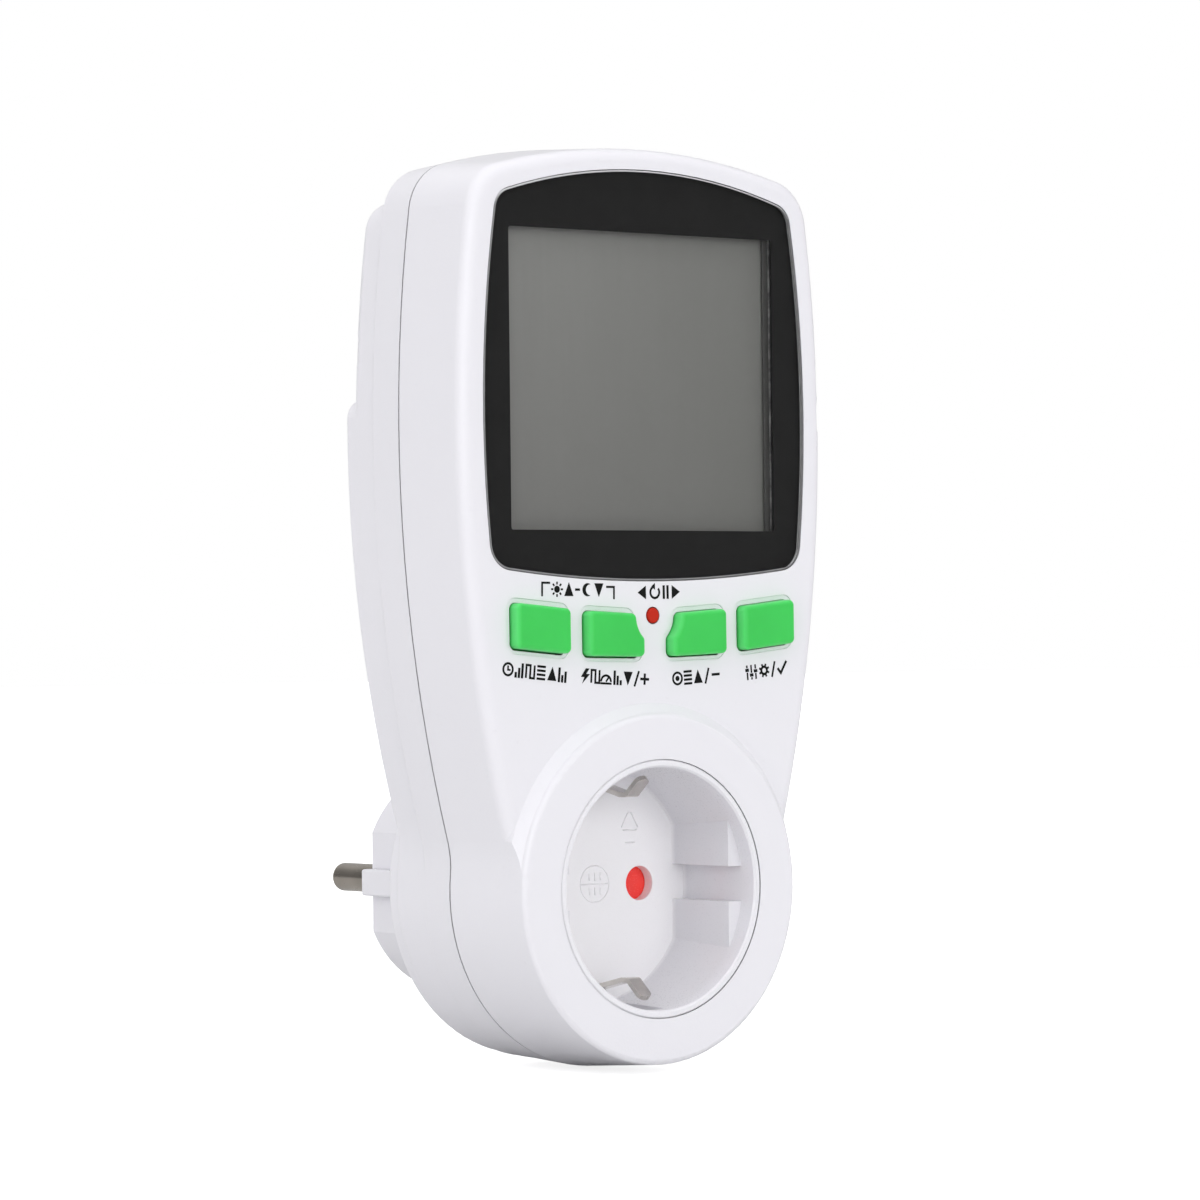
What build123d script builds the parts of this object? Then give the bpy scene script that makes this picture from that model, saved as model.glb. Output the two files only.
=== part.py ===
from build123d import *
from math import atan2, cos, hypot, pi, radians, sin, sqrt, tan
import os

# Plug-in power meter with a type F (Schuko) plug behind and a type F outlet in front.
# Frame: millimetres. Origin at the centre of the plug's end face, between the two pins.
# +Y runs into the wall (the pins point along +Y), +Z up, +X to the right seen from the front.
# Names that start with y_ are depths along Y; "front" is always the -Y side.

# ---- depths of the casing ---------------------------------------------------------------
y_rim = -55.5  # front plane of the round outlet collar
y_face = -53.05  # flat front face of the casing
y_wall_in = y_face + 2.45  # inside of the front wall
y_seam = -37.8  # parting plane between front and rear cover
y_level1 = -30.0  # first step of the rear cover
y_level2 = -24.0  # second step, upper half
y_level3 = -22.0  # third step, lower half
y_pad = -20.0  # round pad that the plug stands on
seam_gap = 0.3  # open shadow line between the covers
y_seam_front = y_seam - seam_gap / 2
y_seam_back = y_seam + seam_gap / 2

# ---- outline of the casing at the parting plane -----------------------------------------
low_radius = 29.35  # round lower end, centred on the outlet
neck_radius = 14.0  # concave blend between round end and flanks
flank_radius = 250.0  # long bowed flanks
flank_x, flank_z = 38.5, 74.0  # widest point of the casing
arch_radius = 120.0  # bowed top
z_top = 119.8
corner_radius = 9.0
taper_front = 4.0
taper_rear = 3.0
wall = 2.2

# ---- outline of the second and third rear steps -----------------------------------------
z_step_top = 115.6
step_corner = 6.0
step_flank = 230.0
step_low_radius = 29.55
z_level3_top = 79.0  # the third step ends here
taper_back = 1.5

# ---- outlet (CEE 7/3) and plug (CEE 7/4) ------------------------------------------------
recess_depth = 17.5
y_floor = y_rim + recess_depth
y_floor_back = y_floor + 3.0
cup_radius = 20.72
pin_pitch = 19.0
pin_xz = [(-pin_pitch / 2, 0), (pin_pitch / 2, 0)]
pin_radius = 2.4
shank_radius = 2.1  # the pin inside the plug body
earth_slot_z = 17.05  # slots for the outlet's earth clips
earth_strap_z = 17.0
plug_earth_z = 16.15  # mid-thickness of the plug's side earth contacts
earth_sheet = 0.8  # sheet thickness of all earth parts

# ---- display window, lens and boards ----------------------------------------------------
window_width, window_height, window_z = 54.64, 47.83, 81.4
lens_thickness = 0.8
tape_thickness = 0.2
y_tape = y_face + 0.05 + lens_thickness
y_pocket = y_tape + tape_thickness
board_thickness = 1.6
y_display_board = -44.6  # front face
y_display_board_back = y_display_board + board_thickness
y_power_board = -28.6  # front face
y_power_board_back = y_power_board + board_thickness

# ---- screws (X, Z): housing screws high in the flanks, then low beside the outlet -------
high_screw_xz = [(-32.1, 97.0), (32.1, 97.0)]
low_screw_xz = [(-17.0, -17.0), (17.0, -17.0)]
screw_xz = high_screw_xz + low_screw_xz
y_screw_seat = -30.5
display_screw_xz = [(-32.9, 60.0), (32.9, 60.0), (-32.9, 84.0), (32.9, 84.0)]
power_screw_xz = [(0.0, 104.0), (-27.5, 37.0), (27.5, 37.0)]

# ---- rating label -----------------------------------------------------------------------
label_width, label_height, label_corner, label_z = 40.0, 22.0, 1.0, 94.0
label_gap = 0.2

# ---- keys -------------------------------------------------------------------------------
key_group_x = 0.6  # the key group sits a little right of the middle
key_group_z = 0.12
key_pivot_z = 41.5
key_turn = radians(0.35)  # and is turned a little, right side up
key_gap = 0.17
# Key outlines (X, Z) of the right half, about the group's own centre line.
outer_key = [(18.05, 44.98), (28.8, 46.04), (28.8, 38.84), (18.05, 37.78)]
inner_key = [(3.02, 43.98), (14.22, 44.63), (14.22, 37.4), (3.02, 37.1)]
key_fillet = 0.9
reset_z = 43.7  # reset button, between the inner keys
scoop_radius = 4.7  # the inner keys are scooped around it
key_stem_xz = {
    "history": (-23.42, 41.9),
    "energy": (-9.4, 40.6),
    "cost": (9.4, 40.6),
    "set": (23.42, 41.9),
}

pieces = []


# =========================================================================================
# Helpers
# =========================================================================================
def finish(piece, label):
    """Name a finished piece and list it for export."""
    piece.part.label = label
    pieces.append(piece.part)


def finish_mirrored(source, label, about):
    """The mirror image of a finished piece, as a piece of its own."""
    with BuildPart() as piece:
        mirror(source.part, about=about)
    finish(piece, label)


def at_y(y):
    """Sketch plane at depth y: local x = X, local y = Z, normal towards the front (-Y).

    A sketch here is extruded to another depth with amount = this depth - other depth.
    """
    return Plane.XZ.offset(-y)


def key_at(y, dx=0.0, dz=0.0):
    """Sketch plane of the key group at depth y: like at_y, moved and turned with the group."""
    return Plane(
        origin=(
            key_group_x + key_pivot_z * sin(key_turn) + dx,
            y,
            key_pivot_z - key_pivot_z * cos(key_turn) + key_group_z + dz,
        ),
        x_dir=(cos(key_turn), 0, sin(key_turn)),
        z_dir=(0, -1, 0),
    )


def inset(depth, angle):
    """How far a drafted wall has moved in after running the given depth."""
    return depth * tan(radians(angle))


def mirrored(points):
    return [(-x, z) for x, z in points]


def circles(places, radius, mode=Mode.ADD):
    """Equal circles at the given places of the current sketch."""
    with Locations(*places):
        Circle(radius, mode=mode)


def edges_at_y(builder, y, tolerance):
    """Edges that lie wholly at depth y."""
    boxes = [(edge, edge.bounding_box()) for edge in builder.edges()]
    return [
        edge
        for edge, box in boxes
        if abs(box.min.Y - y) < tolerance and abs(box.max.Y - y) < tolerance
    ]


def circle_crossing(centre_a, radius_a, centre_b, radius_b, side):
    """Crossing of two circles, left (side 1) or right (side -1) of the way from a to b."""
    step_x, step_z = centre_b[0] - centre_a[0], centre_b[1] - centre_a[1]
    apart = hypot(step_x, step_z)
    unit_x, unit_z = step_x / apart, step_z / apart
    along = (radius_a * radius_a - radius_b * radius_b + apart * apart) / (2 * apart)
    across = side * sqrt(radius_a * radius_a - along * along)
    return (
        centre_a[0] + along * unit_x - across * unit_z,
        centre_a[1] + along * unit_z + across * unit_x,
    )


def bearing(centre, point):
    """Angle at which a point is seen from a centre."""
    return atan2(point[1] - centre[1], point[0] - centre[0])


def arc(centre, radius, start, end):
    """Start, middle and end point of an arc between two angles."""
    return [
        (centre[0] + radius * cos(angle), centre[1] + radius * sin(angle))
        for angle in (start, (start + end) / 2, end)
    ]


def both_halves(right):
    """Close an outline whose right half runs from bottom to top."""
    return right + [mirrored(reversed(side)) for side in reversed(right)]


def draw_arcs(arcs):
    for points in arcs:
        ThreePointArc(*points)


def casing_arcs(
    distance=0.0,
    top=z_top,
    corner=corner_radius,
    low=low_radius,
    flank=flank_radius,
):
    """Tangent arcs of the casing outline moved inwards by distance."""
    low_centre = (0, 0)
    flank_centre = (flank_x - flank, flank_z)
    arch_centre = (0, top - arch_radius)
    # the neck touches the round end and the flank from outside
    neck_centre = circle_crossing(
        low_centre, low + neck_radius, flank_centre, flank + neck_radius, -1
    )
    # the top corner touches the flank and the arch from inside
    corner_centre = circle_crossing(
        flank_centre, flank - corner, arch_centre, arch_radius - corner, 1
    )
    low_end = bearing(low_centre, neck_centre)
    flank_start = bearing(flank_centre, neck_centre)
    flank_end = bearing(flank_centre, corner_centre)
    arch_start = bearing(arch_centre, corner_centre)
    return both_halves([
        arc(low_centre, low - distance, -pi / 2, low_end),
        arc(neck_centre, neck_radius + distance, low_end + pi, flank_start + pi),
        arc(flank_centre, flank - distance, flank_start, flank_end),
        arc(corner_centre, corner - distance, flank_end, arch_start),
        arc(arch_centre, arch_radius - distance, arch_start, pi / 2),
    ])


def lens_arcs(distance=0.0):
    """Outline of the display lens, widest near its middle, moved inwards by distance."""
    side_radius, top_radius, bottom_radius = 205.0, 97.0, 230.0
    top_corner, bottom_corner = 3.7, 4.3
    side_centre = (33.25 - side_radius, 76.0)
    top_centre = (0, 115.3 - top_radius)
    bottom_centre = (0, 49.4 + bottom_radius)
    high_centre = circle_crossing(
        side_centre, side_radius - top_corner, top_centre, top_radius - top_corner, 1
    )
    low_centre = circle_crossing(
        side_centre, side_radius - bottom_corner, bottom_centre, bottom_radius - bottom_corner, -1
    )
    bottom_end = bearing(bottom_centre, low_centre)
    side_start = bearing(side_centre, low_centre)
    side_end = bearing(side_centre, high_centre)
    top_start = bearing(top_centre, high_centre)
    return both_halves([
        arc(bottom_centre, bottom_radius - distance, -pi / 2, bottom_end),
        arc(low_centre, bottom_corner - distance, bottom_end, side_start),
        arc(side_centre, side_radius - distance, side_start, side_end),
        arc(high_centre, top_corner - distance, side_end, top_start),
        arc(top_centre, top_radius - distance, top_start, pi / 2),
    ])


def build_screws(
    label,
    places,
    y_seat,
    way,  # 1: the shanks run to the front, -1: to the back
    head_radius,
    head_height,
    thread_radius,
    thread_length,
    slot_length,
    slot_width,
    slot_depth,
):
    """A set of equal cross-slotted screws."""
    y_head_top = y_seat + way * head_height
    with BuildPart() as screws:
        with BuildSketch(at_y(y_seat)):
            circles(places, head_radius)
        extrude(amount=-way * head_height)
        with BuildSketch(at_y(y_seat)):
            circles(places, thread_radius)
        extrude(amount=way * thread_length)
        with BuildSketch(at_y(y_head_top)):
            with Locations(*places):
                Rectangle(slot_length, slot_width)
                Rectangle(slot_width, slot_length)
        extrude(amount=way * slot_depth, mode=Mode.SUBTRACT)
    finish(screws, label)


# =========================================================================================
# Front cover
# =========================================================================================
cup_hole_radius = 20.78
lens_gap = 0.12
window_margin = 1.5
y_cut = y_wall_in + 0.5  # cuts through the front wall start here, in the hollow
key_field_depth = 0.18
key_field_margin = 0.85
key_mouth_shift = -0.1  # the key openings sit a touch low and left of the keys
reset_hole_radius = 1.4

with BuildPart() as front_cover:
    # main shell, drafted towards the front, with a rounded front edge
    with BuildSketch(at_y(y_seam_front)):
        with BuildLine():
            draw_arcs(casing_arcs(inset(seam_gap / 2, taper_front)))
        make_face()
    extrude(amount=y_seam_front - y_face, taper=taper_front)
    fillet(front_cover.faces().sort_by(Axis.Y)[0].edges(), 2.2)


def collar_radius(y):
    """Radius of the drafted round end at depth y."""
    return low_radius - inset(y_seam - y, taper_front)


face_radius = collar_radius(y_face)
rim_radius = collar_radius(y_rim)
y_flare_back = y_face + 1.6
flare_start = (y_face, face_radius + 1.5)
flare_end = (y_face - 1.55, rim_radius + 0.1)
rim_edge = (y_rim, rim_radius - 0.8)

# round collar around the outlet, flared where it leaves the face; section is (Y, radius)
with BuildPart() as collar:
    with BuildSketch(Plane.YZ):
        with BuildLine():
            Polyline(
                (y_seam_front, 0),
                (y_seam_front, collar_radius(y_seam_front)),
                (y_flare_back, collar_radius(y_flare_back)),
                (y_flare_back, face_radius + 1.75),
                flare_start,
            )
            ThreePointArc(flare_start, (y_face - 1.02, face_radius + 0.36), flare_end)
            ThreePointArc(flare_end, (y_rim + 0.24, rim_radius - 0.2), rim_edge)
            Polyline(rim_edge, (y_rim, 0), (y_seam_front, 0))
        make_face()
    revolve(axis=Axis.Y)
    # trimmed to the casing outline
    with BuildSketch(at_y(y_seam_front)):
        with BuildLine():
            draw_arcs(casing_arcs(inset(seam_gap / 2, taper_front)))
        make_face()
    extrude(amount=y_seam_front - y_rim + 1, taper=taper_front, mode=Mode.INTERSECT)

with front_cover:
    add(collar.part)
    # hollow inside
    with BuildSketch(at_y(y_seam)):
        with BuildLine():
            draw_arcs(casing_arcs(wall))
        make_face()
    extrude(amount=y_seam - y_wall_in, taper=taper_front, mode=Mode.SUBTRACT)
    # rebate that takes the rear cover's tongue
    with BuildSketch(at_y(y_seam)):
        with BuildLine():
            draw_arcs(casing_arcs(1.1))
        make_face()
    extrude(amount=2.0, mode=Mode.SUBTRACT)
    # sleeve that carries the outlet cup, then the screw bosses: back end, radius, places
    for y_end, radius, places in (
        (-47.9, 23.2, [(0, 0)]),
        (-41.0, 2.5, low_screw_xz),
        (-40.0, 2.3, high_screw_xz),
        (y_display_board, 1.9, display_screw_xz),
    ):
        with BuildSketch(at_y(y_end)):
            circles(places, radius)
        extrude(amount=y_end - y_wall_in)
    # seat of the outlet cup
    with BuildSketch(at_y(-40)):
        Circle(cup_hole_radius)
    extrude(amount=20, mode=Mode.SUBTRACT)
    # pilot holes of the self-tapping screws: back end, radius, depth, places
    for y_end, radius, depth, places in (
        (-39.0, 1.1, 9.8, screw_xz),
        (y_display_board, 0.82, 5.0, display_screw_xz),
    ):
        with BuildSketch(at_y(y_end)):
            circles(places, radius)
        extrude(amount=depth, mode=Mode.SUBTRACT)
    # shallow pocket of the lens and the opening to the display behind it
    with BuildSketch(at_y(y_pocket)):
        with BuildLine():
            draw_arcs(lens_arcs(-lens_gap))
        make_face()
    extrude(amount=5, mode=Mode.SUBTRACT)
    with BuildSketch(at_y(y_cut)):
        with Locations((0, window_z)):
            RectangleRounded(
                window_width + 2 * window_margin, window_height + 2 * window_margin, 1.5
            )
    extrude(amount=5, mode=Mode.SUBTRACT)
    # shallow sunk fields around the keys, then the key openings: plane, margin, cut length
    for plane, margin, length in (
        (key_at(y_face + key_field_depth), key_field_margin, 3),
        (key_at(y_cut, key_mouth_shift, key_mouth_shift), key_gap, 6),
    ):
        with BuildSketch(plane) as key_openings:
            for outline in (outer_key, mirrored(outer_key), inner_key, mirrored(inner_key)):
                with BuildLine():
                    Polyline(*outline, close=True)
                make_face()
            circles([(0, reset_z)], scoop_radius, Mode.SUBTRACT)
            fillet(key_openings.vertices(), key_fillet)
            offset(amount=margin, kind=Kind.ARC)
        extrude(amount=length, mode=Mode.SUBTRACT)
    # hole of the reset button
    with BuildSketch(key_at(y_cut)):
        circles([(0, reset_z)], reset_hole_radius)
    extrude(amount=6, mode=Mode.SUBTRACT)
finish(front_cover, "front_cover")

# =========================================================================================
# Rear cover with the plug body
# =========================================================================================
y_step_start = y_level1 - 1.0  # the steps start a little inside level 1
step_inset = inset(y_level1 - y_seam, taper_rear) + 0.25
step_start_inset = step_inset - inset(y_level1 - y_step_start, taper_back)
step_shape = {"top": z_step_top, "corner": step_corner, "flank": step_flank}
back_wall = 2.0
step_hollow_inset = step_inset + 1.7

pad_radius = 28.45
plug_radius = 19.0
plug_flat_x = 17.1
rib_x, rib_half_width = 19.3, 2.2  # ribs in the middle of the flats
foot_radius = 20.3
y_foot = y_pad - 1.5
plug_bore_radius = 14.4
y_plug_bore = y_level3 - 3.0
plug_end_wall = 3.0
earth_channel_z = 15.7  # inner side of the earth channels
earth_channel_width, earth_channel_height = 5.6, 10

with BuildPart() as rear_cover:
    # level 1: full outline
    with BuildSketch(at_y(y_seam_back)):
        with BuildLine():
            draw_arcs(casing_arcs(inset(seam_gap / 2, taper_rear)))
        make_face()
    extrude(amount=y_seam_back - y_level1, taper=taper_rear)
    fillet(edges_at_y(rear_cover, y_level1, 0.01), 0.5)

with BuildPart() as level2:
    with BuildSketch(at_y(y_step_start)):
        with BuildLine():
            draw_arcs(casing_arcs(step_start_inset, low=step_low_radius, **step_shape))
        make_face()
    extrude(amount=y_step_start - y_level2, taper=taper_back)
    fillet(level2.faces().sort_by(Axis.Y)[-1].edges(), 2.0)

with BuildPart() as level3:
    with BuildSketch(at_y(y_step_start)):  # a hair inside the second step
        with BuildLine():
            draw_arcs(casing_arcs(step_start_inset + 0.03, low=step_low_radius, **step_shape))
        make_face()
    extrude(amount=y_step_start - y_level3, taper=taper_back)
    # the plane looks down, so this keeps the lower half
    split(bisect_by=Plane((0, 0, z_level3_top), z_dir=(0, 0, -1)), keep=Keep.TOP)
    top_edges = level3.faces().sort_by(Axis.Z)[-1].edges()
    fillet(top_edges.filter_by(lambda e: abs(e.center().X) > 30), 3.0)
    fillet(level3.faces().sort_by(Axis.Y)[-1].edges(), 1.2)

with BuildPart() as level3_hollow:
    with BuildSketch(at_y(y_seam)):
        with BuildLine():
            draw_arcs(casing_arcs(step_hollow_inset, **step_shape))
        make_face()
    extrude(amount=y_seam - (y_level3 - back_wall), taper=taper_rear)
    split(bisect_by=Plane((0, 0, z_level3_top - 2.6), z_dir=(0, 0, -1)), keep=Keep.TOP)

# tongue that reaches into the front cover's rebate
with BuildPart() as tongue:
    with BuildSketch(at_y(y_seam + 2.0)):
        with BuildLine():
            draw_arcs(casing_arcs(1.25))
        make_face()
        with BuildLine():
            draw_arcs(casing_arcs(wall))
        make_face(mode=Mode.SUBTRACT)
    extrude(amount=3.6)

with rear_cover:
    add(level2.part)
    add(level3.part)
    # round pad that the plug body stands on
    with BuildSketch(at_y(y_level3 - 3.0)):
        Circle(pad_radius)
    extrude(amount=y_level3 - 3.0 - y_pad, taper=1)
    fillet(edges_at_y(rear_cover, y_pad, 0.001), 0.6)
    # plug body: conical foot, then round with two keyed flats, a rib in the middle of each
    with BuildSketch(at_y(y_foot)):
        Circle(foot_radius)
    extrude(amount=-3.7, taper=8)
    with BuildSketch(at_y(y_level3)) as plug_outline:
        Circle(plug_radius)
        with Locations((plug_flat_x + 5, 0), (-plug_flat_x - 5, 0)):
            Rectangle(10, 40, mode=Mode.SUBTRACT)
        Rectangle(2 * rib_x, 2 * rib_half_width)
        rib_corners = plug_outline.vertices().filter_by(lambda v: abs(abs(v.X) - rib_x) < 0.01)
        fillet(rib_corners, 0.4)
    extrude(amount=y_level3)
    fillet(edges_at_y(rear_cover, 0, 0.001), 0.5)
    # hollow inside, stepped like the outside
    with BuildSketch(at_y(y_seam)):
        with BuildLine():
            draw_arcs(casing_arcs(wall))
        make_face()
    extrude(amount=y_seam - (y_level1 - back_wall), taper=taper_rear, mode=Mode.SUBTRACT)
    with BuildSketch(at_y(y_seam)):
        with BuildLine():
            draw_arcs(casing_arcs(step_hollow_inset, **step_shape))
        make_face()
    extrude(amount=y_seam - (y_level2 - back_wall), taper=taper_rear, mode=Mode.SUBTRACT)
    add(level3_hollow.part, mode=Mode.SUBTRACT)
    with BuildSketch(at_y(y_plug_bore)):
        Circle(plug_bore_radius)
    extrude(amount=y_plug_bore + plug_end_wall, mode=Mode.SUBTRACT)
    add(tongue.part)
    # pin holes through the end wall
    with BuildSketch(at_y(-5.0)):
        circles(pin_xz, pin_radius + 0.02)
    extrude(amount=-6, mode=Mode.SUBTRACT)
    # channels for the two earth contacts on top of and below the plug body
    with BuildSketch(at_y(-21.0)):
        channel_centre_z = earth_channel_z + earth_channel_height / 2
        with Locations((0, channel_centre_z), (0, -channel_centre_z)):
            Rectangle(earth_channel_width, earth_channel_height)
    extrude(amount=-30, mode=Mode.SUBTRACT)
    # slots that let the contacts pass into the casing
    with BuildSketch(at_y(-26.5)):
        with Locations((0, plug_earth_z), (0, -plug_earth_z)):
            Rectangle(earth_channel_width, 1.1)
    extrude(amount=-8, mode=Mode.SUBTRACT)
    # screw towers and board posts: front end, places, radius, length towards the back
    for y_start, places, radius, length, mode in (
        (-37.0, screw_xz, 3.3, 12.0, Mode.ADD),  # screw towers
        (-40.0, screw_xz, 1.35, 14, Mode.SUBTRACT),  # clearance holes
        (y_screw_seat, screw_xz, 2.4, 14, Mode.SUBTRACT),  # deep counterbores
        (y_power_board_back, power_screw_xz, 2.2, 3.4, Mode.ADD),  # power board posts
        (y_power_board_back, power_screw_xz, 1.02, 1.9, Mode.SUBTRACT),  # pilot holes
    ):
        with BuildSketch(at_y(y_start)):
            circles(places, radius)
        extrude(amount=-length, mode=mode)
    # shallow seat of the rating label
    with BuildSketch(at_y(y_level2 - 0.2)):
        with Locations((0, label_z)):
            RectangleRounded(
                label_width + 2 * label_gap, label_height + 2 * label_gap, label_corner + label_gap
            )
    extrude(amount=-3, mode=Mode.SUBTRACT)
finish(rear_cover, "rear_cover")

# =========================================================================================
# Outlet cup
# =========================================================================================
recess_radius = 19.5
y_cup_lip = y_rim - 0.02
y_flange, y_flange_back, flange_radius = -47.88, -46.2, 22.6
y_skirt_back, skirt_radius, skirt_bore = -32.9, 15.9, 14.8
block_flat_x = 16.55  # flats of the keying blocks
block_start = 3.2  # their front ends, measured from the rim
block_groove_half = 2.87
contact_hole_radius = 2.82

with BuildPart() as socket_cup:
    with BuildSketch(Plane.YZ):
        with BuildLine():
            # section of the cup: (Y, radius)
            Polyline(
                (y_cup_lip, cup_radius - 0.25),
                (y_rim + 0.25, cup_radius),
                (y_flange, cup_radius),
                (y_flange, flange_radius),
                (y_flange_back, flange_radius),
                (y_flange_back, cup_radius),
                (y_floor_back, cup_radius),
                (y_floor_back, skirt_radius),
                (y_skirt_back, skirt_radius),
                (y_skirt_back, skirt_bore),
                (y_floor_back, skirt_bore),
                (y_floor_back, 0),
                (y_floor, 0),
                (y_floor, 19.0),
                (-52.6, recess_radius),
                (y_rim + 0.3, recess_radius),
                (y_cup_lip, recess_radius + 0.3),
                (y_cup_lip, cup_radius - 0.25),
            )
        make_face()
    revolve(axis=Axis.Y)
    # keying blocks with a groove across the middle
    with BuildSketch(at_y(y_floor + 0.5)):
        Circle(19.7)
        Rectangle(2 * block_flat_x, 60, mode=Mode.SUBTRACT)
        Rectangle(60, 2 * block_groove_half, mode=Mode.SUBTRACT)
    extrude(amount=recess_depth - block_start + 0.5)
    # relief slots behind the earth clips
    with BuildSketch(at_y(y_floor + 0.3)):
        with Locations((0, 19.1), (0, -19.1)):
            Rectangle(4.6, 2.1)
    extrude(amount=y_floor + 0.3 + 52.55, mode=Mode.SUBTRACT)
    # seat of the shutter behind the floor
    with BuildSketch(at_y(y_floor_back + 0.05)):
        Circle(skirt_bore)
    extrude(amount=1.05, mode=Mode.SUBTRACT)
    # contact holes
    with BuildSketch(at_y(-30)):
        circles(pin_xz, contact_hole_radius)
    extrude(amount=8.2, mode=Mode.SUBTRACT)
    # earth clip slots
    with BuildSketch(at_y(-30)):
        with Locations((0, earth_slot_z), (0, -earth_slot_z)):
            Rectangle(4.4, 2.1)
    extrude(amount=9, mode=Mode.SUBTRACT)
    # screw notches of the flange
    with BuildSketch(at_y(-44)):
        circles(low_screw_xz, 3.0)
        Circle(cup_radius, mode=Mode.SUBTRACT)
    extrude(amount=4.2, mode=Mode.SUBTRACT)
    # pivot of the shutter
    with BuildSketch(at_y(-33.1)):
        Circle(1.5)
    extrude(amount=3.2)
finish(socket_cup, "socket_cup")

# =========================================================================================
# Child safety shutter: a disc that turns about the outlet axis, with its spring
# =========================================================================================
shutter_turn = radians(37.0)
shutter_hole_x = pin_pitch / 2 * cos(shutter_turn)
shutter_hole_z = pin_pitch / 2 * sin(shutter_turn)
y_shutter_back = y_floor_back + 0.58
shutter_thickness = 1.5

with BuildPart() as shutter_disc:
    with BuildSketch(at_y(y_shutter_back)):
        Circle(14.6)
        Circle(1.58, mode=Mode.SUBTRACT)
        shutter_holes = [(shutter_hole_x, shutter_hole_z), (-shutter_hole_x, -shutter_hole_z)]
        circles(shutter_holes, 2.95, Mode.SUBTRACT)
    extrude(amount=shutter_thickness)
    # spring anchor peg
    with BuildSketch(at_y(y_shutter_back + 1.4)):
        circles([(0, 3.6)], 0.4)
    extrude(amount=1.5)
finish(shutter_disc, "shutter_disc")

with BuildPart() as shutter_spring:
    with BuildLine() as coil:
        Helix(
            pitch=0.7,
            height=2.1,
            radius=2.3,
            center=(0, y_shutter_back + 0.35, 0),
            direction=(0, 1, 0),
        )
    with BuildSketch(Plane(coil.line @ 0, z_dir=coil.line % 0)):
        Circle(0.2)
    sweep(is_frenet=True)
finish(shutter_spring, "shutter_spring")

# =========================================================================================
# Contact carrier: round block behind the shutter
# =========================================================================================
y_carrier_pocket = -31.0

with BuildPart() as contact_carrier:
    with BuildSketch(at_y(-27.4)):
        Circle(15.85)
        with Locations((0, earth_slot_z), (0, -earth_slot_z)):
            Rectangle(5.0, 3.4, mode=Mode.SUBTRACT)
    extrude(amount=5.45)
    # bores of the contact tubes
    with BuildSketch(at_y(-27)):
        circles(pin_xz, 3.55)
    extrude(amount=7, mode=Mode.SUBTRACT)
    # pocket for spring, pivot and peg
    with BuildSketch(at_y(y_carrier_pocket)):
        Circle(4.6)
        Circle(1.2, mode=Mode.SUBTRACT)
    extrude(amount=3, mode=Mode.SUBTRACT)
    with BuildSketch(at_y(y_carrier_pocket)):
        Circle(1.7)
    extrude(amount=3, mode=Mode.SUBTRACT)
    back_edges = contact_carrier.faces().sort_by(Axis.Y)[-1].edges()
    chamfer(back_edges.filter_by(GeomType.CIRCLE), 0.3)
finish(contact_carrier, "contact_carrier")

# =========================================================================================
# Earth path: spring clips in the outlet, strap through the meter, side contacts of the plug
# =========================================================================================
# middle line of the upper clip: (Y, Z), from its root to its front tip
clip_path = [(-37.1, earth_strap_z), (-46.3, 14.95), (-47.8, 14.95), (-51.1, 17.75)]

with BuildPart() as earth_clip_top:
    with BuildSketch(Plane.YZ):
        with BuildLine():
            FilletPolyline(*clip_path, radius=0.75)
        trace(line_width=earth_sheet)
    extrude(amount=1.25, both=True)
    tip = earth_clip_top.faces().sort_by(Axis.Y)[0]
    fillet(tip.edges().filter_by(lambda e: e.length < 1.0), 1.1)
finish(earth_clip_top, "earth_clip_top")
finish_mirrored(earth_clip_top, "earth_clip_bottom", Plane.XY)

# One strap joins both clips to both side contacts of the plug.
y_strap_front, y_strap_back = -36.9, -26.2

with BuildPart() as earth_strap:
    with BuildSketch(Plane.YZ):
        with BuildLine():
            Polyline(
                (y_strap_front, earth_strap_z),
                (y_strap_back, earth_strap_z),
                (y_strap_back, -earth_strap_z),
                (y_strap_front, -earth_strap_z),
            )
        trace(line_width=earth_sheet)
    extrude(amount=1.75, both=True)
    # two holes in the cross piece
    with BuildSketch(at_y(y_strap_back + earth_sheet / 2)):
        circles([(0, 7), (0, -7)], 1.0)
    extrude(amount=earth_sheet, mode=Mode.SUBTRACT)
finish(earth_strap, "earth_strap")

with BuildPart() as plug_earth_contact_top:
    with BuildSketch(Plane.YZ):
        with BuildLine():
            FilletPolyline(
                (-25.35, 12.0), (-25.35, plug_earth_z), (-1.2, plug_earth_z), radius=0.6
            )
        trace(line_width=earth_sheet)
    extrude(amount=2.5, both=True)
    # raised contact ridge along the outer leg
    with BuildSketch(Plane.YZ):
        with BuildLine():
            Polyline((-14.0, 16.4), (-11.5, 16.95), (-4.5, 16.95), (-2.0, 16.4), close=True)
        make_face()
    extrude(amount=1.1, both=True)
finish(plug_earth_contact_top, "plug_earth_contact_top")
finish_mirrored(plug_earth_contact_top, "plug_earth_contact_bottom", Plane.XY)

# =========================================================================================
# Plug pins and the moulded block that holds them
# =========================================================================================
pin_x = pin_pitch / 2
y_pin_root = -17.0
y_pin_end = 19.0
tip_rounding = 1.1
y_tip = y_pin_end - tip_rounding
tip_flat_radius = pin_radius - tip_rounding
y_pin_collar, y_pin_collar_back = -12.0, -9.5

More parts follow.
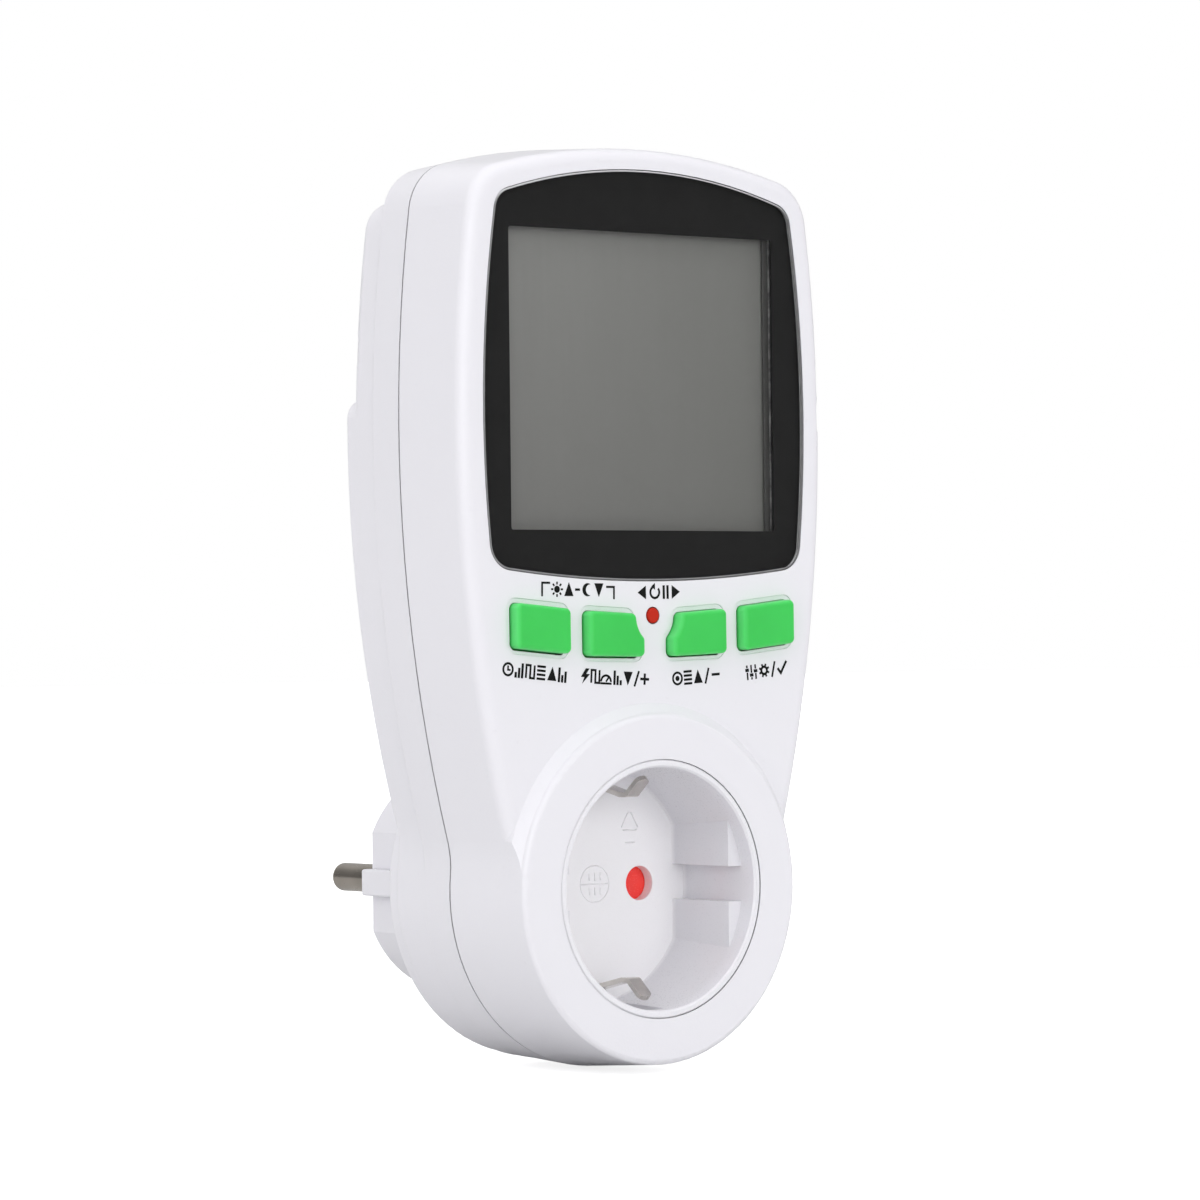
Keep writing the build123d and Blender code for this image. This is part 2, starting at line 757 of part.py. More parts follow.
with BuildPart() as live_pin:
    with BuildSketch(Plane.YZ.offset(pin_x)):
        with BuildLine():
            # half section of the pin: (Y, radius)
            Polyline(
                (y_pin_root, 0),
                (y_pin_root, 1.5),
                (-16.4, shank_radius),
                (y_pin_collar, shank_radius),
                (y_pin_collar, 3.3),
                (y_pin_collar_back, 3.3),
                (y_pin_collar_back, shank_radius),
                (0.1, shank_radius),
                (0.35, pin_radius),
                (y_tip, pin_radius),
            )
            ThreePointArc(
                (y_tip, pin_radius),
                (
                    y_tip + tip_rounding * sin(pi / 4),
                    tip_flat_radius + tip_rounding * cos(pi / 4),
                ),
                (y_pin_end, tip_flat_radius),
            )
            Polyline((y_pin_end, tip_flat_radius), (y_pin_end, 0), (y_pin_root, 0))
        make_face()
    revolve(axis=Axis((pin_x, 0, 0), (0, 1, 0)))
finish(live_pin, "live_pin")
finish_mirrored(live_pin, "neutral_pin", Plane.YZ)

# The block clamps both pin collars inside the plug body.
y_pin_carrier_back, pin_carrier_length = -8.0, 7.0

with BuildPart() as pin_carrier:
    with BuildSketch(at_y(y_pin_carrier_back)):
        Circle(14.3)
    extrude(amount=pin_carrier_length)
    with BuildSketch(at_y(y_pin_carrier_back)):
        circles(pin_xz, shank_radius + 0.03)
    extrude(amount=pin_carrier_length, mode=Mode.SUBTRACT)
    with BuildSketch(at_y(y_pin_carrier_back)):
        circles(pin_xz, 3.34)
    extrude(amount=y_pin_carrier_back - y_pin_collar, mode=Mode.SUBTRACT)
finish(pin_carrier, "pin_carrier")

# =========================================================================================
# Outlet contacts: split tubes that grip the pins of the plugged-in appliance
# =========================================================================================
tube_radius = 3.4
y_tail_back, tail_thickness = -19.2, 1.0

with BuildPart() as live_contact:
    with BuildSketch(at_y(-20.0)):
        with Locations((pin_x, 0)):
            Circle(tube_radius)
            Circle(2.5, mode=Mode.SUBTRACT)
    extrude(amount=11.5)
    # slit across the tube, open to the front
    with BuildSketch(at_y(-22.5)):
        with Locations((pin_x, 0)):
            Rectangle(1.2, 8)
    extrude(amount=12, mode=Mode.SUBTRACT)
    # plate that closes the back of the tube, with a tail upwards
    with BuildSketch(at_y(y_tail_back)):
        circles([(pin_x, 0)], tube_radius)
    extrude(amount=tail_thickness)
    with BuildSketch(at_y(y_tail_back)):
        with Locations((pin_x, 5.0)):
            Rectangle(4.0, 5.0)
    extrude(amount=tail_thickness)
finish(live_contact, "live_contact")
finish_mirrored(live_contact, "neutral_contact", Plane.YZ)

# =========================================================================================
# Round links from the contacts to the pin roots; the live one, with a hole, is the shunt
# =========================================================================================
y_link_back, link_length, link_radius = -17.05, 2.0, 3.0

with BuildPart() as neutral_strap:
    with BuildSketch(at_y(y_link_back)):
        circles([(-pin_x, 0)], link_radius)
    extrude(amount=link_length)
finish(neutral_strap, "neutral_strap")

with BuildPart() as current_shunt:
    with BuildSketch(at_y(y_link_back)):
        with Locations((pin_x, 0)):
            Circle(link_radius)
            Circle(0.9, mode=Mode.SUBTRACT)
    extrude(amount=link_length)
finish(current_shunt, "current_shunt")

# =========================================================================================
# Display stack
# =========================================================================================
lcd_z = 79.4
glass_width, glass_height = 56.6, 56.4
y_glass_back, glass_thickness = -47.9, 2.0
y_glass = y_glass_back - glass_thickness
polariser_width, polariser_height = 55.2, 51.4
polariser_z = window_z + 0.2
frame_wall = 1.1
frame_play = 0.1  # around glass and polariser, each side
y_frame = -50.5

with BuildPart() as display_lens:
    with BuildSketch(at_y(y_tape)):
        with BuildLine():
            draw_arcs(lens_arcs())
        make_face()
    extrude(amount=lens_thickness)
    chamfer(display_lens.faces().sort_by(Axis.Y)[0].edges(), 0.18)
finish(display_lens, "display_lens")

# black adhesive frame behind the lens; its opening is the visible window
with BuildPart() as lens_mask:
    with BuildSketch(at_y(y_pocket)):
        with BuildLine():
            draw_arcs(lens_arcs(0.05))
        make_face()
        with Locations((0, window_z)):
            RectangleRounded(window_width, window_height, 0.4, mode=Mode.SUBTRACT)
    extrude(amount=tape_thickness)
finish(lens_mask, "lens_mask")

# glass with its contact ledge below, front polariser on top
with BuildPart() as lcd_panel:
    with BuildSketch(at_y(y_glass_back)):
        with Locations((0, lcd_z)):
            Rectangle(glass_width, glass_height)
    extrude(amount=glass_thickness)
    with BuildSketch(at_y(y_glass)):
        with Locations((0, polariser_z)):
            Rectangle(polariser_width, polariser_height)
    extrude(amount=0.2)
finish(lcd_panel, "lcd_panel")


def is_opening_edge(edge):
    """True for the front edges around the opening of the display frame."""
    middle = edge.center()
    return abs(middle.Y - y_frame) < 0.01 and abs(middle.X) < 28 and 54 < middle.Z < 108


with BuildPart() as lcd_frame:
    with BuildSketch(at_y(y_display_board)):
        with Locations((0, lcd_z)):
            RectangleRounded(glass_width + 2 * frame_wall, glass_height + 2 * frame_wall, 0.8)
    extrude(amount=y_display_board - y_frame)
    # room for the glass, open to the back
    with BuildSketch(at_y(y_display_board)):
        with Locations((0, lcd_z)):
            Rectangle(glass_width + 2 * frame_play, glass_height + 2 * frame_play)
    extrude(amount=y_display_board - (y_frame + 0.5), mode=Mode.SUBTRACT)
    # opening in front
    with BuildSketch(at_y(-49)):
        with Locations((0, polariser_z)):
            Rectangle(polariser_width + 2 * frame_play, polariser_height + 2 * frame_play)
    extrude(amount=3, mode=Mode.SUBTRACT)
    chamfer(lcd_frame.edges().filter_by(is_opening_edge), 0.35)
finish(lcd_frame, "lcd_frame")

with BuildPart() as lcd_backlight:
    with BuildSketch(at_y(-45.0)):
        with Locations((0, 81.2)):
            Rectangle(56.0, 51.6)
    extrude(amount=2.8)
    chamfer(lcd_backlight.edges().filter_by(Axis.Y), 0.8)
finish(lcd_backlight, "lcd_backlight")

with BuildPart() as zebra_strip:
    with BuildSketch(at_y(-44.62)):
        with Locations((0, 53.0)):
            RectangleRounded(52.0, 2.0, 0.3)
    extrude(amount=3.26)
finish(zebra_strip, "zebra_strip")

# =========================================================================================
# Keys and their carbon pills
# =========================================================================================
y_key = y_face - 2.0  # front of the keys
y_key_flange = -49.4  # back of the key caps and their flanges
y_pill_back, pill_thickness, pill_radius = -46.15, 0.6, 1.8
y_stem_back = y_pill_back - pill_thickness
key_mirror = Plane(origin=(key_group_x, 0, key_pivot_z), z_dir=(cos(key_turn), 0, sin(key_turn)))


def build_key(label, outline, scooped, flange_width, stem_centre, stem_width, stem_height):
    """Key cap with a flange around its back and a stem behind it."""
    with BuildPart() as key:
        with BuildSketch(key_at(y_key_flange)) as cap:
            with BuildLine():
                Polyline(*outline, close=True)
            make_face()
            if scooped:
                circles([(0, reset_z)], scoop_radius, Mode.SUBTRACT)
            fillet(cap.vertices(), key_fillet)
        extrude(amount=y_key_flange - y_key)
        fillet(key.faces().sort_by(Axis.Y)[0].edges(), 0.8)
        with BuildSketch(key_at(y_key_flange)) as flange:
            with BuildLine():
                Polyline(*outline, close=True)
            make_face()
            if scooped:
                circles([(0, reset_z)], scoop_radius, Mode.SUBTRACT)
            fillet(flange.vertices(), key_fillet)
            offset(amount=flange_width, kind=Kind.ARC)
        extrude(amount=1.1)
        with BuildSketch(key_at(y_stem_back)):
            with Locations(stem_centre):
                RectangleRounded(stem_width, stem_height, 1.0)
        extrude(amount=3.0)
    finish(key, label)
    return key


left_outer_key = mirrored(outer_key)
outer_stem_centre = (
    sum(x for x, z in left_outer_key) / 4,
    sum(z for x, z in left_outer_key) / 4,
)
key_history = build_key("key_history", left_outer_key, False, 1.0, outer_stem_centre, 8.0, 4.6)
key_energy = build_key(
    "key_energy", mirrored(inner_key), True, 0.75, key_stem_xz["energy"], 7.6, 4.4
)
finish_mirrored(key_energy, "key_cost", key_mirror)
finish_mirrored(key_history, "key_set", key_mirror)

for key_name, place in key_stem_xz.items():
    with BuildPart() as carbon_pill:
        with BuildSketch(key_at(y_pill_back)):
            circles([place], pill_radius)
        extrude(amount=pill_thickness)
    finish(carbon_pill, f"carbon_pill_{key_name}")

# silicone web between the keys and the board, open around each key stem
with BuildPart() as keypad_mat:
    with BuildSketch(key_at(y_display_board)):
        with Locations((0, 41.2)):
            RectangleRounded(62.0, 13.2, 2.0)
        with Locations(*key_stem_xz.values()):
            RectangleRounded(10.2, 6.6, 1.6, mode=Mode.SUBTRACT)
        circles([(0, reset_z)], 4.0, Mode.SUBTRACT)
    extrude(amount=1.0)
finish(keypad_mat, "keypad_mat")

# =========================================================================================
# Reset button and its switch
# =========================================================================================
y_reset_back = -46.4
y_reset = y_face - 0.25  # front of the button
switch_height = 0.75

with BuildPart() as reset_button:
    with BuildSketch(key_at(y_reset_back)):
        circles([(0, reset_z)], 1.25)
    extrude(amount=y_reset_back - y_reset)
    fillet(reset_button.faces().sort_by(Axis.Y)[0].edges(), 0.3)
    # collar behind the front wall
    with BuildSketch(key_at(-49.5)):
        circles([(0, reset_z)], 2.0)
    extrude(amount=1.0)
finish(reset_button, "reset_button")

with BuildPart() as reset_switch:
    with BuildSketch(key_at(y_display_board)):
        with Locations((0, reset_z)):
            RectangleRounded(4.2, 3.4, 0.3)
    extrude(amount=switch_height)
    with BuildSketch(key_at(y_display_board - switch_height)):
        circles([(0, reset_z)], 1.0)
    extrude(amount=0.35)
finish(reset_switch, "reset_switch")

# =========================================================================================
# Display board
# =========================================================================================
board_z = 69.5  # middle height of both boards
chip_z = 82
chip_leg_row = 13.2  # distance between opposite rows of legs
chip_leg_pitch = 0.9

with BuildPart() as display_board:
    with BuildSketch(at_y(y_display_board_back)):
        with BuildLine():
            draw_arcs(casing_arcs(3.4))
        make_face()
        with Locations((0, board_z)):
            Rectangle(90, 85, mode=Mode.INTERSECT)
        circles(high_screw_xz, 2.9, Mode.SUBTRACT)
        circles(display_screw_xz, 0.95, Mode.SUBTRACT)
    extrude(amount=board_thickness)
finish(display_board, "display_board")

with BuildPart() as controller_chip:
    with BuildSketch(at_y(-41.4)):
        with Locations((0, chip_z)):
            Rectangle(12, 12)
    extrude(amount=1.5)
    chamfer(controller_chip.faces().sort_by(Axis.Y)[-1].edges(), 0.3)
    # legs on all four sides
    with BuildSketch(at_y(-42.3)):
        with Locations((0, chip_z)):
            with GridLocations(chip_leg_row, chip_leg_pitch, 2, 11):
                Rectangle(1.6, 0.4)
            with GridLocations(chip_leg_pitch, chip_leg_row, 11, 2):
                Rectangle(0.4, 1.6)
    extrude(amount=0.25)
finish(controller_chip, "controller_chip")

build_screws(
    "display_board_screws",
    display_screw_xz,
    y_display_board_back,
    way=1,
    head_radius=1.6,
    head_height=1.1,
    thread_radius=0.8,
    thread_length=5.8,
    slot_length=1.9,
    slot_width=0.45,
    slot_depth=0.6,
)

# =========================================================================================
# Power board and what stands on its front
# =========================================================================================
with BuildPart() as power_board:
    with BuildSketch(at_y(y_power_board_back)):
        with BuildLine():
            draw_arcs(casing_arcs(4.2, z_step_top, step_corner))
        make_face()
        with Locations((0, board_z)):
            Rectangle(90, 77, mode=Mode.INTERSECT)
        circles(high_screw_xz, 3.8, Mode.SUBTRACT)
        circles(power_screw_xz, 1.15, Mode.SUBTRACT)
    extrude(amount=board_thickness)
finish(power_board, "power_board")

build_screws(
    "power_board_screws",
    power_screw_xz,
    y_power_board,
    way=-1,
    head_radius=2.1,
    head_height=1.3,
    thread_radius=1.0,
    thread_length=3.3,
    slot_length=2.4,
    slot_width=0.55,
    slot_depth=0.7,
)

with BuildPart() as x2_capacitor:
    with BuildSketch(at_y(y_power_board)):
        with Locations((-15, 92)):
            RectangleRounded(18.0, 8.5, 0.8)
    extrude(amount=11.0)
    fillet(x2_capacitor.faces().sort_by(Axis.Y)[0].edges(), 0.6)
finish(x2_capacitor, "x2_capacitor")

electrolytic_xz = [(8, 91), (18.5, 91)]
with BuildPart() as electrolytic_capacitors:
    with BuildSketch(at_y(y_power_board)):
        circles(electrolytic_xz, 4.0)
    extrude(amount=11.2)
    fillet(electrolytic_capacitors.faces().sort_by(Axis.Y)[0:2].edges(), 0.6)
    # groove around each can near the board
    with BuildSketch(at_y(y_power_board - 1.6)):
        with Locations(*electrolytic_xz):
            Circle(4.2)
            Circle(3.75, mode=Mode.SUBTRACT)
    extrude(amount=0.6, mode=Mode.SUBTRACT)
finish(electrolytic_capacitors, "electrolytic_capacitors")

# upright disc on two leads
with BuildPart() as varistor:
    with BuildSketch(Plane.YZ.offset(-26)):
        circles([(y_power_board - 5.6, 74)], 5.2)
    extrude(amount=3.6)
    fillet(varistor.edges().filter_by(GeomType.CIRCLE), 1.2)
    with BuildSketch(at_y(y_power_board)):
        circles([(-24.2, 71.2), (-24.2, 76.8)], 0.4)
    extrude(amount=2.2)
finish(varistor, "varistor")

with BuildPart() as fuse:
    with BuildSketch(at_y(y_power_board)):
        circles([(-23, 56)], 4.2)
    extrude(amount=7.7)
    fillet(fuse.faces().sort_by(Axis.Y)[0].edges(), 0.8)
finish(fuse, "fuse")

metering_chip_place = (2, 62)
with BuildPart() as metering_chip:
    with BuildSketch(at_y(y_power_board - 0.2)):
        with Locations(metering_chip_place):
            Rectangle(15.4, 7.5)
    extrude(amount=2.3)
    chamfer(metering_chip.faces().sort_by(Axis.Y)[0].edges(), 0.3)
    # legs above and below
    with BuildSketch(at_y(y_power_board)):
        with Locations(metering_chip_place):
            with GridLocations(1.27, 9.0, 12, 2):
                Rectangle(0.42, 2.0)
    extrude(amount=0.3)
finish(metering_chip, "metering_chip")

diode_yz = [(y_power_board - 1.5, z) for z in (72.5, 76.0, 79.5, 83.0)]
with BuildPart() as rectifier_diodes:
    # bodies, then leads: left end, radius, length
    for x_left, radius, length in ((-5.0, 1.3, 5.2), (-7.4, 0.4, 10.0)):
        with BuildSketch(Plane.YZ.offset(x_left)):
            circles(diode_yz, radius)
        extrude(amount=length)
finish(rectifier_diodes, "rectifier_diodes")

crystal_place = (19, 59)
with BuildPart() as crystal:
    # base, then can: length, width, height
    for length, width, height in ((11.0, 4.6, 0.6), (10.2, 3.8, 3.6)):
        with BuildSketch(at_y(y_power_board)):
            with Locations(crystal_place):
                SlotOverall(length, width)
        extrude(amount=height)
    fillet(crystal.faces().sort_by(Axis.Y)[0].edges(), 0.5)
finish(crystal, "crystal")

# stack of three button cells in a sleeve, with two grooves between the cells
battery_yz = (y_power_board - 6.0, 75.5)
with BuildPart() as backup_battery:
    with BuildSketch(Plane.YZ.offset(7.5)):
        circles([battery_yz], 5.8)
    extrude(amount=17.0)
    fillet(backup_battery.edges().filter_by(GeomType.CIRCLE), 0.8)
    for groove_x in (13.0, 18.6):
        with BuildSketch(Plane.YZ.offset(groove_x)):
            with Locations(battery_yz):
                Circle(6.0)
                Circle(5.65, mode=Mode.SUBTRACT)
        extrude(amount=0.35, mode=Mode.SUBTRACT)
finish(backup_battery, "backup_battery")

# =========================================================================================
# Ribbon cable between the boards, sagging in the middle: path is (Y, Z)
# =========================================================================================
ribbon_z = 47.0
with BuildPart() as ribbon_cable:
    with BuildSketch(Plane.YZ):
        with BuildLine():
            FilletPolyline(
                (y_display_board_back, ribbon_z),
                (-40.2, ribbon_z),
                (-35.8, 43.2),
                (-31.4, ribbon_z),
                (y_power_board, ribbon_z),
                radius=1.0,
            )
        trace(line_width=0.9)
    extrude(amount=8.0, both=True)
finish(ribbon_cable, "ribbon_cable")

# =========================================================================================
# Mains wires from the contact tails up to the power board
# =========================================================================================
# middle line of the live wire: (X, Y, Z)
live_wire_path = [
    (pin_x, -21.3, 6.3),
    (9.9, -25.0, 8.6),
    (11.5, -27.6, 15.0),
    (13.5, -31.0, 24.0),
    (14.0, -32.0, 32.0),
    (14.0, y_power_board - 0.05, 37.0),
]
with BuildPart() as live_wire:
    with BuildLine() as live_run:
        Spline(*live_wire_path, tangents=((0, -1, 0.3), (0, 1, 0)))
    with BuildSketch(Plane(live_run.line @ 0, z_dir=live_run.line % 0)):
        Circle(1.0)
    sweep()
finish(live_wire, "live_wire")
finish_mirrored(live_wire, "neutral_wire", Plane.YZ)

# =========================================================================================
# Housing screws and rating label
# =========================================================================================
build_screws(
    "housing_screws",
    screw_xz,
    y_screw_seat,
    way=1,
    head_radius=2.2,
    head_height=1.6,
    thread_radius=1.08,
    thread_length=14.0,
    slot_length=2.6,
    slot_width=0.6,
    slot_depth=0.9,
)

with BuildPart() as rating_label:
    with BuildSketch(at_y(y_level2 - 0.05)):
        with Locations((0, label_z)):
            RectangleRounded(label_width, label_height, label_corner)
    extrude(amount=0.15)
finish(rating_label, "rating_label")

# =========================================================================================
# Files
# =========================================================================================
os.makedirs("parts", exist_ok=True)
for part in pieces:
    export_step(part, f"parts/{part.label}.step")
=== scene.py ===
"""Plug-in energy meter: a white casing with an outlet cup, a display window and four green keys.

The front faces -Y, X runs to the right as seen from the front and Z is up. Shapes are given in
millimetres and scaled by MM as vertices are made. The CAD pieces get their finishes first, then
the window, the moulded relief and the printed marks are built, then the floor, light and camera.
"""
import bpy, bmesh, math, random
from mathutils import Matrix, Vector


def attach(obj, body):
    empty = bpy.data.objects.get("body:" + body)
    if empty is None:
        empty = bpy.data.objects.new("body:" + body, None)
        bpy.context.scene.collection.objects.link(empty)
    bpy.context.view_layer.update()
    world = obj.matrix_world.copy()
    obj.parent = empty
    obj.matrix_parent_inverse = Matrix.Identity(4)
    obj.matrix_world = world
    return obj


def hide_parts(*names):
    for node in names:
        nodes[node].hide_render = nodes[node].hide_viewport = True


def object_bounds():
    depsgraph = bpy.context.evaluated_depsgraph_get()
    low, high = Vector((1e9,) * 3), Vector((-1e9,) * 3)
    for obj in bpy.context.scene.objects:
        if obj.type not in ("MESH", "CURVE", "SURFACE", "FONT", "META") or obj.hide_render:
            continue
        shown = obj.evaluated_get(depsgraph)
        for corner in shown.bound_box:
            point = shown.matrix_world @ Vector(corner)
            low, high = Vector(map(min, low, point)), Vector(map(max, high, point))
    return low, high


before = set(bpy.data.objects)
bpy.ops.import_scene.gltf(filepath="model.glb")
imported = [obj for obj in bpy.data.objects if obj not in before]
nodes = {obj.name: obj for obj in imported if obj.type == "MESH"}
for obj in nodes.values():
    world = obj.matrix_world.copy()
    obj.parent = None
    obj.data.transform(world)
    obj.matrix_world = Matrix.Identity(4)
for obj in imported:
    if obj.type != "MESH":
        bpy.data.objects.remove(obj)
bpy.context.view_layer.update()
random.seed(7)

MM = 0.001

# Depths of the main surfaces, mm along Y
FACE_Y = -53.05  # front face of the casing
CUP_FLOOR_Y = -38.0  # floor of the outlet cup

# Arcs bounding the window plate, mm
WINDOW_HALF_WIDTH = 33.25
WINDOW_TOP_Z = 115.3
WINDOW_BOTTOM_Z = 49.4
SIDE_ARC_Z = 76.0
SIDE_RADIUS, TOP_RADIUS, BOTTOM_RADIUS = 205.0, 97.0, 230.0
TOP_CORNER_RADIUS, BOTTOM_CORNER_RADIUS = 3.7, 4.3
SIDE_ARC_X = WINDOW_HALF_WIDTH - SIDE_RADIUS
TOP_ARC_Z = WINDOW_TOP_Z - TOP_RADIUS
BOTTOM_ARC_Z = WINDOW_BOTTOM_Z + BOTTOM_RADIUS

# Rows of the window plate from back to front: inset of the outline, y
WINDOW_ROWS = ((0.0, -52.26), (0.0, -52.8), (0.09, -52.95), (0.30, -53.0))

# Black border behind the plate
BORDER_INSET = 0.05
BORDER_FRONT_Y, BORDER_BACK_Y = -52.2, -52.0
OPENING = dict(centre_x=0.0, centre_z=81.4, width=54.64, height=47.83, radius=0.4)

# Upright strips along the right edge of the display
STRIP_BOTTOM_Z, STRIP_TOP_Z, STRIP_BACK_Y = 55.9, 106.9, -50.52

# Raised ribs on the cup floor
RIB_HEIGHT = 0.10
RING_CENTRE, RING_RADIUS, RING_RIB_WIDTH = (0.15, 0.2), 3.0, 0.24
TRIANGLE_CENTRE, TRIANGLE_RADIUS, TRIANGLE_RIB_WIDTH = (7.6, 9.9), 2.3, 0.26

# Printed marks stand in front of the face and sink slightly into it
INK_RAISED, INK_SUNK = 0.03, 0.02


# ------------------------------------------------------------------ shader helpers
class NodeTree:
    """Short ways to add and join shader nodes."""

    def __init__(self, tree):
        self.tree = tree

    def feed(self, socket, value):
        """Link another socket into this one, or set it to a plain value."""
        if isinstance(value, bpy.types.NodeSocket):
            self.tree.links.new(value, socket)
        elif isinstance(value, tuple) and socket.type == "RGBA":
            socket.default_value = (*value, 1.0)
        else:
            socket.default_value = value

    def node(self, kind, *values, options=None, **named):
        """Add a node; values fill inputs by position, named ones by name (_ for a space)."""
        node = self.tree.nodes.new(kind)
        for option, value in (options or {}).items():
            setattr(node, option, value)
        for i, value in enumerate(values):
            self.feed(node.inputs[i], value)
        for name, value in named.items():
            self.feed(node.inputs[name.replace("_", " ")], value)
        return node

    def math(self, operation, *values, clamp=False):
        options = dict(operation=operation, use_clamp=clamp)
        return self.node("ShaderNodeMath", *values, options=options).outputs["Value"]

    def dot(self, first, second):
        options = dict(operation="DOT_PRODUCT")
        return self.node("ShaderNodeVectorMath", first, second, options=options).outputs["Value"]


class Shader(NodeTree):
    """A material with a Principled shader and procedural detail in object coordinates."""

    def __init__(self, name):
        self.material = bpy.data.materials.new(name)
        self.material.use_nodes = True
        super().__init__(self.material.node_tree)
        self.principled = self.tree.nodes["Principled BSDF"]
        self.coord = self.node("ShaderNodeTexCoord").outputs["Object"]

    def set(self, **inputs):
        """Set or link inputs of the Principled shader."""
        for name, value in inputs.items():
            self.feed(self.principled.inputs[name.replace("_", " ")], value)

    def noise(self, scale, detail=3.0, rough=0.55, stretch=None):
        vector = self.coord
        if stretch:
            mapping = self.node("ShaderNodeMapping", Vector=vector, Scale=stretch)
            vector = mapping.outputs["Vector"]
        noise = self.node(
            "ShaderNodeTexNoise", Scale=scale, Detail=detail, Roughness=rough, Vector=vector
        )
        return noise.outputs["Fac"]

    def remap(self, value, low=0.0, high=1.0, start=0.0, end=1.0):
        """Carry the range start..end of a value over to low..high."""
        ranged = self.node(
            "ShaderNodeMapRange",
            Value=value, From_Min=start, From_Max=end, To_Min=low, To_Max=high,
        )
        return ranged.outputs["Result"]

    def mix(self, factor, first, second):
        """Blend two colours; inputs 6 and 7 and output 2 are the colour sockets."""
        node = self.node("ShaderNodeMix", options=dict(data_type="RGBA"), Factor=factor)
        self.feed(node.inputs[6], first)
        self.feed(node.inputs[7], second)
        return node.outputs[2]

    def axes(self, vector):
        return self.node("ShaderNodeSeparateXYZ", vector).outputs

    def normal(self):
        return self.node("ShaderNodeNewGeometry").outputs["Normal"]

    def bevelled_normal(self, radius, samples):
        """Normal rounded over edges; radius in mm."""
        options = dict(samples=samples)
        return self.node("ShaderNodeBevel", options=options, Radius=radius * MM).outputs["Normal"]

    def edge(self, radius, gain):
        """0 on flat areas, towards 1 along edges; radius in mm."""
        agreement = self.dot(self.bevelled_normal(radius, samples=4), self.normal())
        return self.math("MULTIPLY", self.math("SUBTRACT", 1.0, agreement), gain, clamp=True)

    def bump(self, height, depth, strength=0.5, round_edges=0.0):
        """Relief of the given depth over optionally rounded edges; both in mm."""
        bump = self.node("ShaderNodeBump", Distance=depth * MM, Strength=strength, Height=height)
        if round_edges:
            self.feed(bump.inputs["Normal"], self.bevelled_normal(round_edges, samples=6))
        self.set(Normal=bump.outputs["Normal"])

    def scatter(self, weight, depth, radius):
        """Light spreading under the surface; depth in mm, radius per colour channel."""
        self.set(Subsurface_Weight=weight, Subsurface_Scale=depth * MM, Subsurface_Radius=radius)


def scaled(colour, factor):
    return tuple(c * factor for c in colour)


# ------------------------------------------------------------------ material families
def plastic(name, colour, rough=0.38, texture=0.012, scale=3500.0, sss=0.0, crevice=0.0,
            edge=0.25, tone=0.03, spec=0.45):
    """Moulded plastic: fine spark texture, faint flow variation, softened edges.

    texture, crevice and edge are in mm; crevice is the reach of the painted shade that darkens
    corners, seams and gaps."""
    mat = Shader(name)
    broad = mat.noise(scale=28.0)
    fine = mat.noise(scale=scale, detail=2.0, rough=0.6)
    dust = mat.noise(scale=900.0, detail=2.0)
    base = mat.mix(mat.remap(broad, start=0.3, end=0.7), colour, scaled(colour, 1 - tone))
    specks = mat.remap(dust, high=0.10, start=0.68, end=0.80)
    base = mat.mix(specks, base, scaled(colour, 0.72))
    # Painted shade: with crevice set, the base colour is darkened where ambient occlusion finds
    # corners, seams and gaps.
    if crevice:
        occlusion = mat.node(
            "ShaderNodeAmbientOcclusion", options=dict(samples=6), Distance=crevice * MM
        )
        painted_crevice_shade = mat.remap(occlusion.outputs["AO"], low=0.30, start=0.15, end=0.55)
        options = dict(operation="SCALE")
        base = mat.node("ShaderNodeVectorMath", base, options=options, Scale=painted_crevice_shade).outputs[0]
    mat.set(
        Base_Color=base,
        Roughness=mat.remap(fine, low=rough - 0.05, high=rough + 0.07),
        Specular_IOR_Level=spec,
        IOR=1.49,
    )
    mat.bump(fine, depth=texture, strength=0.6, round_edges=edge)
    if sss:
        mat.scatter(weight=sss, depth=1.2, radius=(1.0, 0.95, 1.0))
    return mat


def metal(name, colour, rough=0.25, brushed=(1.0, 12.0, 1.0), scale=420.0):
    """Plated or stamped metal: drawn lines, tarnish in broad patches, brighter edges that are
    partly wear and partly a painted highlight.
    """
    mat = Shader(name)
    lines = mat.noise(scale=scale, detail=4.0, rough=0.7, stretch=brushed)
    patch = mat.noise(scale=160.0, detail=4.0)
    base = mat.mix(mat.remap(patch, start=0.35, end=0.7), colour, scaled(colour, 0.75))
    # Brighter edges: part wear, part painted highlight.
    edge_wear_and_highlight = tuple(min(1.0, c * 1.2) for c in colour)
    base = mat.mix(mat.edge(radius=0.2, gain=2.5), base, edge_wear_and_highlight)
    mat.set(
        Base_Color=base,
        Metallic=1.0,
        Roughness=mat.remap(lines, low=rough - 0.07, high=rough + 0.12),
    )
    mat.bump(lines, depth=0.004, round_edges=0.1)
    return mat


def mottled(name, colours, rough, scale, depth=0.0, round_edges=0.0, detail=3.0, grain=0.55,
            stretch=None, **levels):
    """One noise drives the colour between two tones, the roughness range and any relief."""
    mat = Shader(name)
    noise = mat.noise(scale=scale, detail=detail, rough=grain, stretch=stretch)
    mat.set(
        Base_Color=mat.mix(noise, *colours),
        Roughness=mat.remap(noise, *rough),
        **levels,
    )
    if depth:
        mat.bump(noise, depth=depth, round_edges=round_edges)
    return mat


